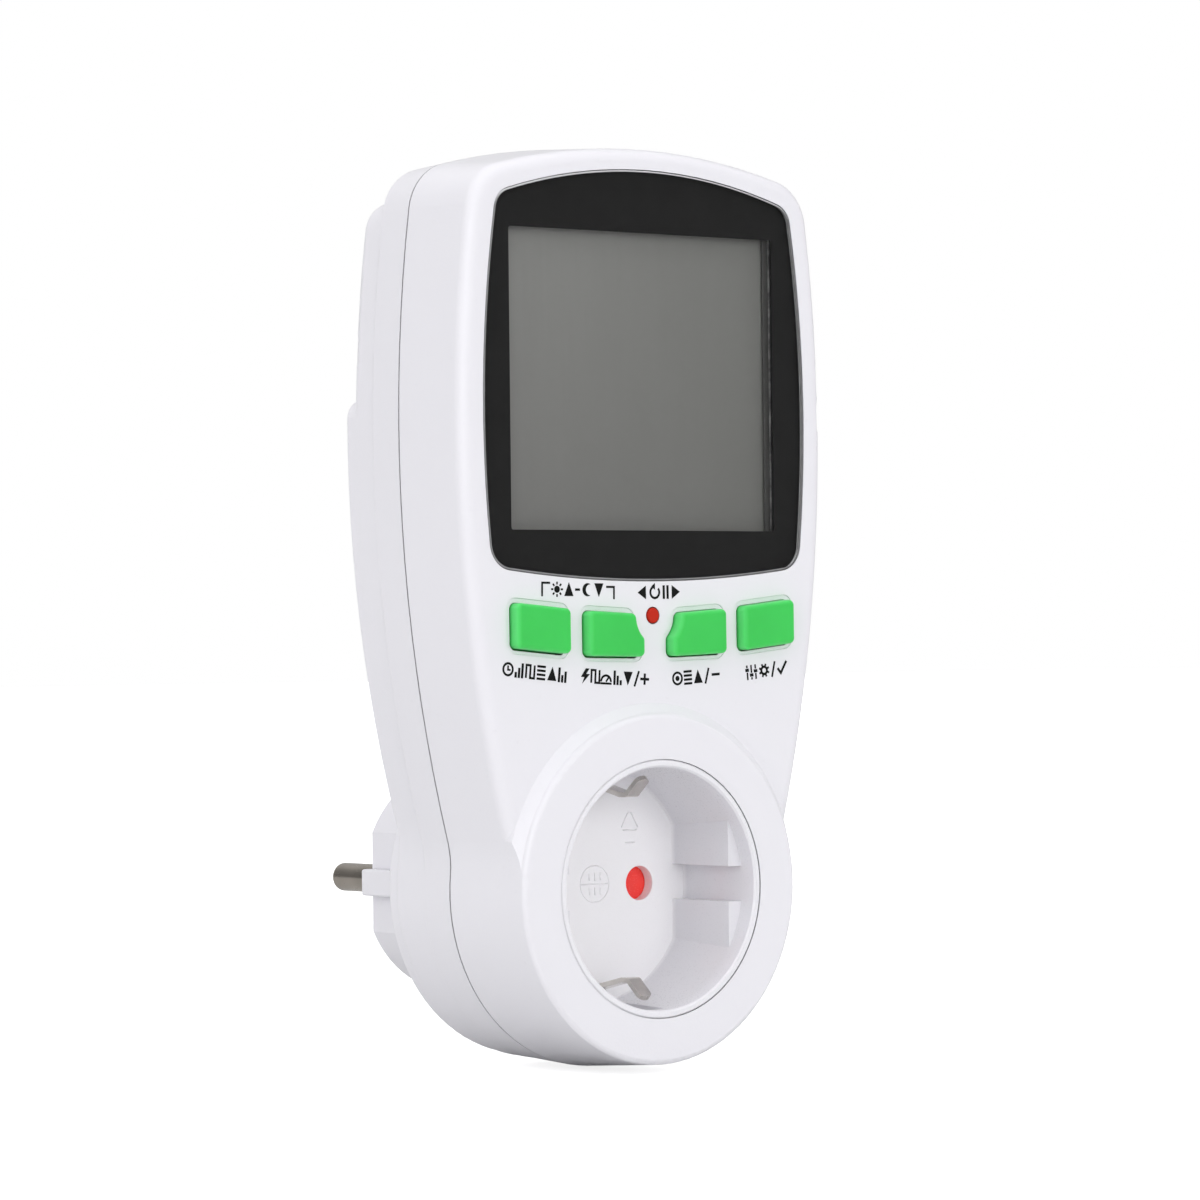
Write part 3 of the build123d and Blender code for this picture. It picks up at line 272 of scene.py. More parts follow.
# ------------------------------------------------------------------ single materials
def cup_material():
    """Satin plastic of the outlet cup, with painted shade dimming the walls behind the rim and
    painted light making the floor paler.
    """
    mat = plastic(
        "socket_white", (0.835, 0.827, 0.87), rough=0.28, sss=0.05, tone=0.012, edge=0.1
    )
    plain = mat.principled.inputs["Base Color"].links[0].from_socket
    y = mat.axes(mat.node("ShaderNodeTexCoord").outputs["Object"])["Y"]
    # Painted shade: the walls behind the rim get a dimmer colour.
    wall = mat.remap(y, start=-0.0545, end=-0.0520)
    # Painted light: the cup floor gets a paler colour.
    floor = mat.remap(y, start=-0.0390, end=-0.0381)
    base = mat.mix(wall, plain, (0.790, 0.782, 0.818))
    mat.set(Base_Color=mat.mix(floor, base, (0.945, 0.935, 0.96)))
    return mat


def keys_material():
    """Green silicone, with painted light making it lighter where the surface turns away from the
    front.
    """
    mat = Shader("key_silicone_green")
    broad = mat.noise(scale=120.0, detail=2.0)
    fine = mat.noise(scale=2600.0, detail=2.0)
    base = mat.mix(
        mat.remap(broad, start=0.3, end=0.7), (0.052, 0.63, 0.105), (0.046, 0.59, 0.095)
    )
    # Painted light: the sides and shoulders of the keys get a lighter green by surface direction.
    facing = mat.math("ABSOLUTE", mat.axes(mat.normal())["Y"])
    side = mat.math("SUBTRACT", 1.0, facing)
    base = mat.mix(mat.remap(side, high=0.75, start=0.02, end=0.7), base, (0.13, 0.80, 0.22))
    mat.set(
        Base_Color=base,
        Roughness=mat.remap(fine, low=0.36, high=0.48),
        Specular_IOR_Level=0.35,
    )
    mat.bump(fine, depth=0.008, round_edges=0.3)
    mat.scatter(weight=0.35, depth=1.5, radius=(0.3, 1.0, 0.4))
    return mat


def lcd_material():
    """Grey liquid crystal glass, streaked, with painted light making it lighter towards the top and
    painted shade making it darker to the right.
    """
    mat = Shader("lcd_grey")
    place = mat.axes(mat.coord)
    # Painted light and shade: ramps lighten the glass towards the top and darken it to the right.
    height = mat.remap(place["Z"], start=0.057, end=0.107)
    across = mat.remap(place["X"], start=-0.028, end=0.028)
    streak = mat.noise(scale=60.0, rough=0.6, stretch=(6.0, 1.0, 0.4))
    base = mat.mix(height, (0.186, 0.186, 0.180), (0.240, 0.241, 0.233))
    base = mat.mix(mat.math("MULTIPLY", across, 0.55), base, (0.135, 0.138, 0.128))
    streaks = mat.remap(streak, high=0.10, start=0.35, end=0.7)
    mat.set(
        Base_Color=mat.mix(streaks, base, (0.13, 0.13, 0.12)),
        Roughness=mat.remap(mat.noise(scale=300.0), low=0.28, high=0.36),
        Specular_IOR_Level=0.05,
    )
    return mat


def lens_material():
    """Clear plate: light passes straight through, with a soft reflection on its front.

    A transparent shader instead of refraction avoids caustic noise."""
    mat = Shader("lens_clear")
    mat.tree.nodes.remove(mat.principled)
    hair = mat.noise(scale=1500.0, detail=4.0, rough=0.7, stretch=(1.0, 1.0, 0.06))
    clear = mat.node("ShaderNodeBsdfTransparent")
    gloss = mat.node("ShaderNodeBsdfGlossy", Roughness=mat.remap(hair, low=0.066, high=0.078))
    fresnel = mat.node("ShaderNodeFresnel", IOR=1.45).outputs[0]
    back = mat.node("ShaderNodeNewGeometry").outputs["Backfacing"]
    shadow = mat.node("ShaderNodeLightPath").outputs["Is Shadow Ray"]
    reflection = mat.math("MULTIPLY", fresnel, mat.math("SUBTRACT", 1.0, back))
    reflection = mat.math("MULTIPLY", reflection, 0.6)  # weaker than a bare sheet
    reflection = mat.math("MULTIPLY", reflection, mat.math("SUBTRACT", 1.0, shadow))
    blend = mat.node("ShaderNodeMixShader", reflection, clear.outputs[0], gloss.outputs[0])
    mat.feed(mat.tree.nodes["Material Output"].inputs["Surface"], blend.outputs[0])
    return mat


def board_material():
    """Green solder mask over a cell pattern of tracks and a fine weave."""
    mat = Shader("solder_mask_green")
    weave = mat.node("ShaderNodeTexBrick", Scale=900.0, Mortar_Size=0.03, Vector=mat.coord)
    tracks = mat.node(
        "ShaderNodeTexVoronoi",
        options=dict(feature="DISTANCE_TO_EDGE"), Scale=190.0, Vector=mat.coord,
    )
    line = mat.remap(tracks.outputs["Distance"], low=1.0, high=0.0, start=0.03, end=0.07)
    base = mat.mix(line, (0.010, 0.085, 0.030), (0.022, 0.155, 0.055))
    base = mat.mix(mat.remap(weave.outputs["Fac"], high=0.12), base, (0.03, 0.14, 0.05))
    mat.set(
        Base_Color=base,
        Roughness=mat.remap(mat.noise(scale=400.0), low=0.25, high=0.4),
    )
    mat.bump(line, depth=0.02)
    return mat


def ribbon_material():
    """Flat cable: parallel cores told apart across its width, the rightmost ones red."""
    core_pitch = 1.27 * MM
    red_from_x = 6.7 * MM
    mat = Shader("ribbon_grey")
    x = mat.axes(mat.coord)["X"]
    wave = mat.math("SINE", mat.math("MULTIPLY", x, 2 * math.pi / core_pitch))
    base = mat.mix(mat.remap(wave, start=-1, end=1), (0.30, 0.30, 0.32), (0.50, 0.50, 0.52))
    base = mat.mix(mat.math("GREATER_THAN", x, red_from_x), base, (0.45, 0.03, 0.03))
    mat.set(
        Base_Color=base,
        Roughness=mat.remap(mat.noise(scale=500.0), low=0.4, high=0.55),
    )
    mat.bump(wave, depth=0.15, strength=0.7)
    return mat


def lens_edge_material():
    """Polished edge of the window plate: its grey is painted light standing in for light scattered
    in the clear edge, with a painted highlight where it faces up.
    """
    mat = Shader("lens_edge")
    noise = mat.noise(scale=500.0, rough=0.6, stretch=(1.0, 0.2, 1.0))
    # Painted highlight: the edge turns much paler where it faces up.
    upward_highlight = mat.remap(mat.axes(mat.normal())["Z"], start=0.15, end=0.6)
    base = mat.mix(noise, (0.15, 0.15, 0.15), (0.30, 0.30, 0.31))
    mat.set(
        Base_Color=mat.mix(upward_highlight, base, (0.82, 0.82, 0.84)),
        Roughness=mat.remap(noise, low=0.12, high=0.22),
        Specular_IOR_Level=0.9,
    )
    mat.bump(noise, depth=0.004)
    return mat


def film_edge_material():
    """Raw cut edge of the clear film, pale and slightly broken up."""
    mat = Shader("film_edge")
    noise = mat.noise(scale=260.0, detail=4.0, rough=0.75, stretch=(0.3, 0.3, 1.0))
    broken = mat.remap(noise, start=0.4, end=0.62)
    mat.set(
        Base_Color=mat.mix(broken, (0.12, 0.12, 0.12), (0.36, 0.36, 0.355)),
        Roughness=mat.remap(noise, low=0.25, high=0.4),
    )
    return mat


socket_white = cup_material()
lens_clear = lens_material()
lens_edge = lens_edge_material()
film_edge = film_edge_material()
mask_black = mottled(
    "mask_black_print", ((0.0135, 0.0135, 0.0138), (0.0180, 0.0180, 0.0180)),
    rough=(0.34, 0.44), scale=700.0, Specular_IOR_Level=0.03,
)
# Darker grey strip along the right edge of the display.
margin_grey = mottled(
    "display_dark_band", ((0.070, 0.070, 0.068), (0.094, 0.094, 0.091)),
    rough=(0.35, 0.5), scale=500.0, Specular_IOR_Level=0.05,
)
ink = mottled(
    "print_ink_black", ((0.003, 0.003, 0.003), (0.012, 0.012, 0.012)),
    rough=(0.45, 0.6), scale=2200.0, depth=0.004, Specular_IOR_Level=0.15,
)
chip = mottled(
    "chip_epoxy", ((0.014, 0.014, 0.015), (0.022, 0.022, 0.023)),
    rough=(0.5, 0.65), scale=2500.0, depth=0.01, round_edges=0.1,
)
carbon = mottled(
    "conductive_rubber", ((0.012, 0.012, 0.012), (0.022, 0.022, 0.022)),
    rough=(0.65, 0.8), scale=1800.0, depth=0.02,
)
label = mottled(
    "blank_label_film", ((0.50, 0.50, 0.52), (0.62, 0.62, 0.64)),
    rough=(0.32, 0.5), scale=350.0, depth=0.003, detail=4.0, grain=0.7,
    stretch=(0.05, 1.0, 1.0), Metallic=0.55,
)

# Material, then the CAD pieces that wear it
FINISHES = (
    # The casing plastic gets painted shade in its seams and corners through crevice.
    (plastic("white_abs", (0.835, 0.826, 0.872), rough=0.30, sss=0.06, tone=0.012,
             texture=0.03, scale=2400.0, crevice=0.8, edge=0.14),
     "front_cover rear_cover"),
    (socket_white, "socket_cup"),
    (plastic("shutter_red", (1.0, 0.060, 0.050), rough=0.25, tone=0.04), "shutter_disc"),
    (plastic("insulator_grey", (0.62, 0.62, 0.60), rough=0.5), "contact_carrier pin_carrier"),
    (plastic("black_plastic", (0.012, 0.012, 0.013), rough=0.42), "lcd_frame reset_switch"),
    (plastic("reset_red", (0.57, 0.020, 0.006), rough=0.6, tone=0.12, spec=0.2),
     "reset_button"),
    (plastic("capacitor_sleeve", (0.02, 0.035, 0.09), rough=0.3), "electrolytic_capacitors"),
    (plastic("film_capacitor_yellow", (0.75, 0.50, 0.06), rough=0.45), "x2_capacitor"),
    (plastic("varistor_blue", (0.03, 0.10, 0.42), rough=0.3), "varistor"),
    (plastic("fuse_brown", (0.08, 0.035, 0.02), rough=0.4), "fuse"),
    (plastic("diode_black", (0.02, 0.02, 0.021), rough=0.5), "rectifier_diodes"),
    (plastic("battery_sleeve", (0.16, 0.42, 0.09), rough=0.25), "backup_battery"),
    (plastic("wire_brown", (0.12, 0.045, 0.02), rough=0.4), "live_wire"),
    (plastic("wire_blue", (0.02, 0.08, 0.38), rough=0.4), "neutral_wire"),
    (plastic("silicone_web", (0.45, 0.55, 0.45), rough=0.5, sss=0.2), "keypad_mat"),
    (plastic("backlight_diffuser", (0.80, 0.83, 0.80), rough=0.4), "lcd_backlight"),
    (metal("nickel", (0.385, 0.35, 0.31), rough=0.22, brushed=(1.0, 0.12, 1.0), scale=900.0),
     "live_pin neutral_pin"),
    (metal("clip_nickel", (0.74, 0.71, 0.66), rough=0.11, brushed=(1.0, 0.2, 1.0), scale=800.0),
     "earth_clip_top earth_clip_bottom plug_earth_contact_top plug_earth_contact_bottom"),
    (metal("brass", (0.70, 0.50, 0.22), rough=0.28),
     "earth_strap live_contact neutral_contact neutral_strap"),
    (metal("manganin", (0.55, 0.33, 0.20), rough=0.34), "current_shunt"),
    (metal("zinc_steel", (0.50, 0.51, 0.52), rough=0.34),
     "shutter_spring display_board_screws power_board_screws housing_screws"),
    (metal("crystal_can", (0.62, 0.62, 0.62), rough=0.22), "crystal"),
    (keys_material(), "key_history key_energy key_cost key_set"),
    (lcd_material(), "lcd_panel"),
    (lens_clear, "display_lens"),
    (mask_black, "lens_mask"),
    (board_material(), "display_board power_board"),
    (chip, "controller_chip metering_chip"),
    (carbon, "zebra_strip carbon_pill_history carbon_pill_energy carbon_pill_cost "
             "carbon_pill_set"),
    (ribbon_material(), "ribbon_cable"),
    (label, "rating_label"),
)
finish_of = {piece: shader for shader, pieces in FINISHES for piece in pieces.split()}
for name, obj in nodes.items():
    obj.data.materials.clear()
    obj.data.materials.append(finish_of[name].material)


# ------------------------------------------------------------------ mesh helpers
def arc(x, z, radius, degrees):
    """Points (x, z) at the given angles round a centre."""
    angles = [math.radians(a) for a in degrees]
    return [(x + radius * math.cos(a), z + radius * math.sin(a)) for a in angles]


def full_turn(steps):
    return [360 * i / steps for i in range(steps)]


def loop(bm, points, y):
    return [bm.verts.new((x * MM, y * MM, z * MM)) for x, z in points]


def skin(bm, first, second, slot=0, smooth=False):
    """Join two closed rows of vertices with quads."""
    count = len(first)
    for i in range(count):
        j = (i + 1) % count
        face = bm.faces.new((first[i], second[i], second[j], first[j]))
        face.material_index = slot
        face.smooth = smooth


def solid(bm, rows, slot=0, smooth=False):
    """Closed solid through (outline, y) rows from back to front."""
    loops = [loop(bm, outline, y) for outline, y in rows]
    for behind, ahead in zip(loops, loops[1:]):
        skin(bm, behind, ahead, slot, smooth)
    bm.faces.new(loops[-1])
    bm.faces.new(loops[0][::-1])


def add_mesh(bm, name, shaders):
    mesh = bpy.data.meshes.new(name)
    bm.to_mesh(mesh)
    bm.free()
    for shader in shaders:
        mesh.materials.append(shader.material)
    return bpy.data.objects.new(name, mesh)


def finish_piece(bm, name, shaders):
    """Turn a bmesh into a piece that moves with the housing."""
    bmesh.ops.recalc_face_normals(bm, faces=bm.faces)
    piece = add_mesh(bm, name, shaders)
    bpy.context.scene.collection.objects.link(piece)
    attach(piece, "housing")
    return piece


# ------------------------------------------------------------------ display window
def corner_centre(radius, end_arc_z, end_radius, turn):
    """Centre of a corner arc touching the right side arc and the top or bottom arc inside.

    turn is 1 for the upper corner and -1 for the lower one."""
    from_side, from_end = SIDE_RADIUS - radius, end_radius - radius
    dx, dz = -SIDE_ARC_X, end_arc_z - SIDE_ARC_Z
    apart = math.hypot(dx, dz)
    along = (from_side**2 - from_end**2 + apart**2) / (2 * apart)
    off = math.sqrt(from_side**2 - along**2) * turn
    ux, uz = dx / apart, dz / apart
    return SIDE_ARC_X + along * ux - off * uz, SIDE_ARC_Z + along * uz + off * ux


def window_outline(inset, steps=14):
    """Closed outline of the window plate, moved inwards by inset, anticlockwise."""
    top_x, top_z = corner_centre(TOP_CORNER_RADIUS, TOP_ARC_Z, TOP_RADIUS, 1)
    low_x, low_z = corner_centre(BOTTOM_CORNER_RADIUS, BOTTOM_ARC_Z, BOTTOM_RADIUS, -1)
    # Angles where one arc hands over to the next
    bottom_end = math.atan2(low_z - BOTTOM_ARC_Z, low_x)
    side_start = math.atan2(low_z - SIDE_ARC_Z, low_x - SIDE_ARC_X)
    side_end = math.atan2(top_z - SIDE_ARC_Z, top_x - SIDE_ARC_X)
    top_start = math.atan2(top_z - TOP_ARC_Z, top_x)
    # Right half from the bottom up: centre x, centre z, radius, start angle, end angle
    arcs = (
        (0, BOTTOM_ARC_Z, BOTTOM_RADIUS, -math.pi / 2, bottom_end),
        (low_x, low_z, BOTTOM_CORNER_RADIUS, bottom_end, side_start),
        (SIDE_ARC_X, SIDE_ARC_Z, SIDE_RADIUS, side_start, side_end),
        (top_x, top_z, TOP_CORNER_RADIUS, side_end, top_start),
        (0, TOP_ARC_Z, TOP_RADIUS, top_start, math.pi / 2),
    )
    points = []
    for x, z, radius, start, end in arcs:
        reach = radius - inset
        for i in range(steps):
            a = start + (end - start) * i / steps
            points.append((x + reach * math.cos(a), z + reach * math.sin(a)))
    points.append((0.0, TOP_ARC_Z + TOP_RADIUS - inset))
    return points + [(-x, z) for x, z in points[-2:0:-1]]


def rounded_rect(centre_x, centre_z, width, height, radius, steps=6):
    points = []
    for side_x, side_z, start in ((1, -1, -90), (1, 1, 0), (-1, 1, 90), (-1, -1, 180)):
        x = centre_x + side_x * (width / 2 - radius)
        z = centre_z + side_z * (height / 2 - radius)
        points += arc(x, z, radius, [start + 90 * i / steps for i in range(steps + 1)])
    return points


def window_plate():
    """Clear plate with a small polished chamfer round its front."""
    bm = bmesh.new()
    solid(bm, [(window_outline(inset), y) for inset, y in WINDOW_ROWS], slot=1, smooth=True)
    piece = finish_piece(bm, "window_plate", (lens_clear, lens_edge))
    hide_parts("display_lens")


def window_border():
    """Black border behind the plate, open where the display shows."""
    bm = bmesh.new()
    layers = []
    for y in (BORDER_FRONT_Y, BORDER_BACK_Y):
        rims = (
            loop(bm, window_outline(BORDER_INSET), y),
            loop(bm, rounded_rect(**OPENING), y),
        )
        edges = [
            bm.edges.new((rim[i], rim[(i + 1) % len(rim)])) for rim in rims for i in range(len(rim))
        ]
        bmesh.ops.triangle_fill(bm, use_beauty=True, use_dissolve=False, edges=edges)
        layers.append(rims)
    for front_rim, back_rim in zip(*layers):
        skin(bm, front_rim, back_rim)
    piece = finish_piece(bm, "window_border", (mask_black,))
    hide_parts("lens_mask")


def strip(name, left, right, front_y, shader, chamfer):
    """Upright flat bar with softened front edges."""
    def rectangle(inset):
        x0, x1 = left + inset, right - inset
        z0, z1 = STRIP_BOTTOM_Z + inset, STRIP_TOP_Z - inset
        return [(x0, z0), (x1, z0), (x1, z1), (x0, z1)]

    bm = bmesh.new()
    flat = rectangle(0)
    solid(bm, [(flat, STRIP_BACK_Y), (flat, front_y + chamfer), (rectangle(chamfer), front_y)])
    finish_piece(bm, name, (shader,))


window_plate()
window_border()
strip("display_dark_band", left=26.75, right=27.93, front_y=-50.62, shader=margin_grey, chamfer=0.02)
strip("polariser_edge", left=27.95, right=28.3, front_y=-50.66, shader=film_edge, chamfer=0.04)


# ------------------------------------------------------------------ moulded relief
def rib(bm, points, width, height=RIB_HEIGHT, closed=False):
    """Low rib with sloping sides on the cup floor, following points (x, z)."""
    sunk_y, crest_y = CUP_FLOOR_Y + 0.02, CUP_FLOOR_Y - height
    profile = (
        (-width / 2, sunk_y), (-width / 4, crest_y), (width / 4, crest_y), (width / 2, sunk_y),
    )
    count = len(points)
    rows = []
    for i, (x, z) in enumerate(points):
        before = points[i - 1] if closed or i else points[i]
        after = points[(i + 1) % count] if closed or i < count - 1 else points[i]
        dx, dz = after[0] - before[0], after[1] - before[1]
        length = math.hypot(dx, dz)
        nx, nz = -dz / length, dx / length
        rows.append([
            bm.verts.new(((x + nx * offset) * MM, y * MM, (z + nz * offset) * MM))
            for offset, y in profile
        ])
    for i in range(count if closed else count - 1):
        near, far = rows[i], rows[(i + 1) % count]
        for j in range(4):
            k = (j + 1) % 4
            face = bm.faces.new((near[j], far[j], far[k], near[k]))
            face.smooth = j < 3
    if not closed:
        bm.faces.new(rows[0][::-1])
        bm.faces.new(rows[-1])


def relief_ring():
    """Circle split by a level bar, with three short upright ribs above and below it."""
    bm = bmesh.new()
    centre_x, centre_z = RING_CENTRE
    width = RING_RIB_WIDTH
    rib(bm, arc(centre_x, centre_z, RING_RADIUS, full_turn(48)), width, closed=True)
    rib(bm, [(-2.7, centre_z), (3.0, centre_z)], width)
    for x in (-1.0, centre_x, 1.3):
        rib(bm, [(x, 0.75), (x, 2.0)], width, height=0.08)
        rib(bm, [(x, -1.6), (x, -0.35)], width, height=0.08)
    finish_piece(bm, "floor_relief_ring", (socket_white,))


def relief_triangle():
    """Triangle of three ribs stopping short of its corners, over a short level rib."""
    bm = bmesh.new()
    corners = arc(*TRIANGLE_CENTRE, TRIANGLE_RADIUS, (90, 210, 330))
    for i in range(3):
        (x0, z0), (x1, z1) = corners[i], corners[(i + 1) % 3]
        ends = [(x0 + (x1 - x0) * u, z0 + (z1 - z0) * u) for u in (0.14, 0.86)]
        rib(bm, ends, TRIANGLE_RIB_WIDTH)
    rib(bm, [(6.6, 6.7), (8.6, 6.7)], TRIANGLE_RIB_WIDTH)
    finish_piece(bm, "floor_relief_triangle", (socket_white,))


relief_ring()
relief_triangle()


# ------------------------------------------------------------------ printed marks
class Marks:
    """Flat prisms on the front face, collected into one mesh.

    Points are (x, z) in millimetres in the mark's own frame, then turned and shifted.
    Each symbol is placed by the x of its middle."""

    front, back = FACE_Y - INK_RAISED, FACE_Y + INK_SUNK

    def __init__(self, centre, tilt):
        self.bm = bmesh.new()
        self.centre = centre
        self.cos, self.sin = math.cos(math.radians(tilt)), math.sin(math.radians(tilt))

    def row(self, points, y):
        centre_x, centre_z = self.centre
        turned = [
            (centre_x + x * self.cos - z * self.sin, centre_z + x * self.sin + z * self.cos)
            for x, z in points
        ]
        return loop(self.bm, turned, y)

    def poly(self, points):
        twice_area = sum(
            a[0] * b[1] - b[0] * a[1] for a, b in zip(points, points[1:] + points[:1])
        )
        if twice_area < 0:
            points = points[::-1]
        front, back = self.row(points, self.front), self.row(points, self.back)
        self.bm.faces.new(front)
        self.bm.faces.new(back[::-1])
        for i in range(len(points)):
            j = (i + 1) % len(points)
            self.bm.faces.new((front[j], front[i], back[i], back[j]))

    def rect(self, x0, z0, x1, z1):
        self.poly([(x0, z0), (x1, z0), (x1, z1), (x0, z1)])

    def ring(self, x, z, radius, width, start=0.0, end=360.0):
        """Round band about a mean radius; an open arc gets flat ends."""
        full = abs(end - start) >= 359.9
        steps = max(8, int(abs(end - start) / 7.5))
        count = steps if full else steps + 1
        angles = [start + (end - start) * i / steps for i in range(count)]
        outer_front, inner_front, outer_back, inner_back = [
            self.row(arc(x, z, r, angles), y)
            for y in (self.front, self.back)
            for r in (radius + width / 2, radius - width / 2)
        ]
        face = self.bm.faces.new
        for i in range(steps):
            j = (i + 1) % count
            face((inner_front[i], outer_front[i], outer_front[j], inner_front[j]))
            face((inner_back[j], outer_back[j], outer_back[i], inner_back[i]))
            face((outer_front[j], outer_front[i], outer_back[i], outer_back[j]))
            face((inner_front[i], inner_front[j], inner_back[j], inner_back[i]))
        if not full:
            face((inner_front[0], inner_back[0], outer_back[0], outer_front[0]))
            face((outer_front[-1], outer_back[-1], inner_back[-1], inner_front[-1]))

    def disc(self, x, z, radius):
        self.poly(arc(x, z, radius, full_turn(32)))

    def stroke(self, points, width):
        """A bent line with mitred corners."""
        normals = []
        for (x0, z0), (x1, z1) in zip(points, points[1:]):
            length = math.hypot(x1 - x0, z1 - z0)
            normals.append(((z0 - z1) / length, (x1 - x0) / length))
        left, right = [], []
        for i, (x, z) in enumerate(points):
            before, after = normals[max(i - 1, 0)], normals[min(i, len(normals) - 1)]
            mx, mz = before[0] + after[0], before[1] + after[1]
            length = math.hypot(mx, mz)
            nx, nz = mx / length, mz / length
            reach = width / 2 / (nx * before[0] + nz * before[1])
            left.append((x + nx * reach, z + nz * reach))
            right.append((x - nx * reach, z - nz * reach))
        self.poly(left + right[::-1])

    def spokes(self, x, inner, outer, half_width, phase=0.0):
        """Eight short bars round the middle; phase is in steps of an eighth turn."""
        profile = (
            (inner, -half_width), (outer, -half_width), (outer, half_width), (inner, half_width),
        )
        for i in range(8):
            angle = (i + phase) * math.tau / 8
            c, s = math.cos(angle), math.sin(angle)
            self.poly([(x + r * c + e * s, r * s - e * c) for r, e in profile])

    def clock(self, x):
        self.ring(x, 0.0, radius=0.94, width=0.36)
        self.stroke([(x - 0.02, 0.6), (x - 0.02, -0.08), (x + 0.5, -0.08)], width=0.3)

    def bars(self, x, heights):
        for i, height in enumerate(heights):
            left = x - 0.88 + 0.64 * i
            self.rect(left, -1.18, left + 0.44, -1.18 + height)

    def pulse(self, x):
        self.stroke(
            [(x - 0.82, -1.05), (x - 0.82, 1.0), (x, 1.0),
             (x, -1.0), (x + 0.82, -1.0), (x + 0.82, 1.05)],
            width=0.36,
        )

    def stack(self, x):
        for i in range(4):
            self.rect(x - 0.85, -1.15 + i * 0.65, x + 0.85, -0.78 + i * 0.65)

    def wedge(self, x, up=1):
        self.poly([(x - 0.92, -1.05 * up), (x + 0.92, -1.05 * up), (x, 1.15 * up)])

    def slash(self, x):
        self.stroke([(x - 0.42, -1.25), (x + 0.42, 1.25)], width=0.36)

    def sun(self, x):
        self.disc(x, 0.0, radius=0.56)
        self.spokes(x, inner=0.76, outer=1.2, half_width=0.15)

    def gear(self, x):
        self.ring(x, 0.0, radius=0.6, width=0.4)
        self.spokes(x, inner=0.7, outer=1.13, half_width=0.17, phase=0.5)

    def moon(self, x):
        outer = arc(x, 0.0, 1.05, range(60, 301, 12))
        inner = arc(x + 0.5, 0.0, 0.86, range(276, 83, -12))
        self.poly(outer + inner)


def draw_history(marks):
    """Clock, bars, pulse, stack, arrowhead and bars."""
    marks.clock(-5.5)
    marks.bars(-3.25, (0.9, 1.6, 2.35))
    marks.pulse(-1.05)
    marks.stack(1.15)
    marks.wedge(3.35)
    marks.bars(5.45, (2.35, 1.2, 1.8))


def draw_energy(marks):
    """Bolt, pulse, half dial, bars, arrowhead, slash and plus sign."""
    marks.poly([
        (-5.95, 1.2), (-6.9, -0.2), (-6.2, -0.2), (-6.6, -1.25),
        (-5.1, 0.32), (-5.85, 0.32), (-5.2, 1.2),
    ])
    marks.pulse(-3.95)
    marks.ring(-1.75, -0.75, radius=1.0, width=0.36, start=0, end=180)
    marks.stroke([(-1.75, -0.75), (-1.2, 0.0)], width=0.3)
    marks.rect(-2.9, -1.2, -0.6, -0.86)
    marks.bars(0.65, (2.3, 1.5, 0.8))
    marks.wedge(2.75, up=-1)
    marks.slash(4.55)
    marks.poly([
        (5.3, -0.2), (6.0, -0.2), (6.0, -0.9), (6.42, -0.9), (6.42, -0.2), (7.12, -0.2),
        (7.12, 0.22), (6.42, 0.22), (6.42, 0.92), (6.0, 0.92), (6.0, 0.22), (5.3, 0.22),
    ])


def draw_cost(marks):
    """Coin, stack, arrowhead, slash and minus sign."""
    marks.ring(-3.95, 0.0, radius=0.94, width=0.36)
    marks.disc(-3.95, 0.0, radius=0.42)
    marks.stack(-1.75)
    marks.wedge(0.4)
    marks.slash(2.3)
    marks.rect(3.3, -0.1, 5.0, 0.32)


def draw_set(marks):
    """Three sliders, gear, slash and tick."""
    for x, knob in ((-4.25, 0.4), (-3.35, -0.45), (-2.45, 0.15)):
        marks.rect(x - 0.16, -1.2, x + 0.16, knob - 0.36)
        marks.rect(x - 0.16, knob + 0.36, x + 0.16, 1.2)
        marks.rect(x - 0.38, knob - 0.26, x + 0.38, knob + 0.26)
    marks.gear(-0.6)
    marks.slash(1.4)
    marks.stroke([(2.35, 0.05), (2.95, -0.8), (4.35, 1.05)], width=0.42)


def draw_half_day(marks):
    """Sun, arrowhead, dash, moon and arrowhead between two brackets."""
    marks.stroke([(-7.5, -1.15), (-7.5, 1.0), (-5.9, 1.0)], width=0.34)
    marks.sun(-4.5)
    marks.wedge(-2.1)
    marks.rect(-0.85, -0.2, 0.15, 0.18)
    marks.moon(1.7)
    marks.wedge(4.0, up=-1)
    marks.stroke([(5.5, 0.5), (7.1, 0.5), (7.1, -1.45)], width=0.34)


def draw_reset(marks):
    """Round arrow and two upright bars between two arrowheads."""
    marks.poly([(-4.45, 0.0), (-2.75, 1.1), (-2.75, -1.1)])
    marks.ring(-0.9, 0.0, radius=0.92, width=0.38, start=110, end=400)
    marks.poly([(-1.6, 0.95), (-0.85, 0.4), (-0.85, 1.5)])
    marks.rect(0.75, -1.1, 1.2, 1.1)
    marks.rect(1.55, -1.1, 2.0, 1.1)
    marks.poly([(4.35, 0.0), (2.65, -1.1), (2.65, 1.1)])


# Object name, centre (x, z) in mm, tilt in degrees, drawing
MARKS = (
    ("mark_history", (-23.5, 35.0), -5.6, draw_history),
    ("mark_energy", (-7.45, 33.95), -3.3, draw_energy),
    ("mark_cost", (9.55, 33.85), 3.3, draw_cost),
    ("mark_set", (24.7, 34.75), 5.6, draw_set),
    ("mark_half_day", (-14.5, 48.0), -0.8, draw_half_day),
    ("mark_reset", (1.95, 47.55), 0.8, draw_reset),
)
for name, centre, tilt, draw in MARKS:
    marks = Marks(centre, tilt)
    draw(marks)
    finish_piece(marks.bm, name, (ink,))


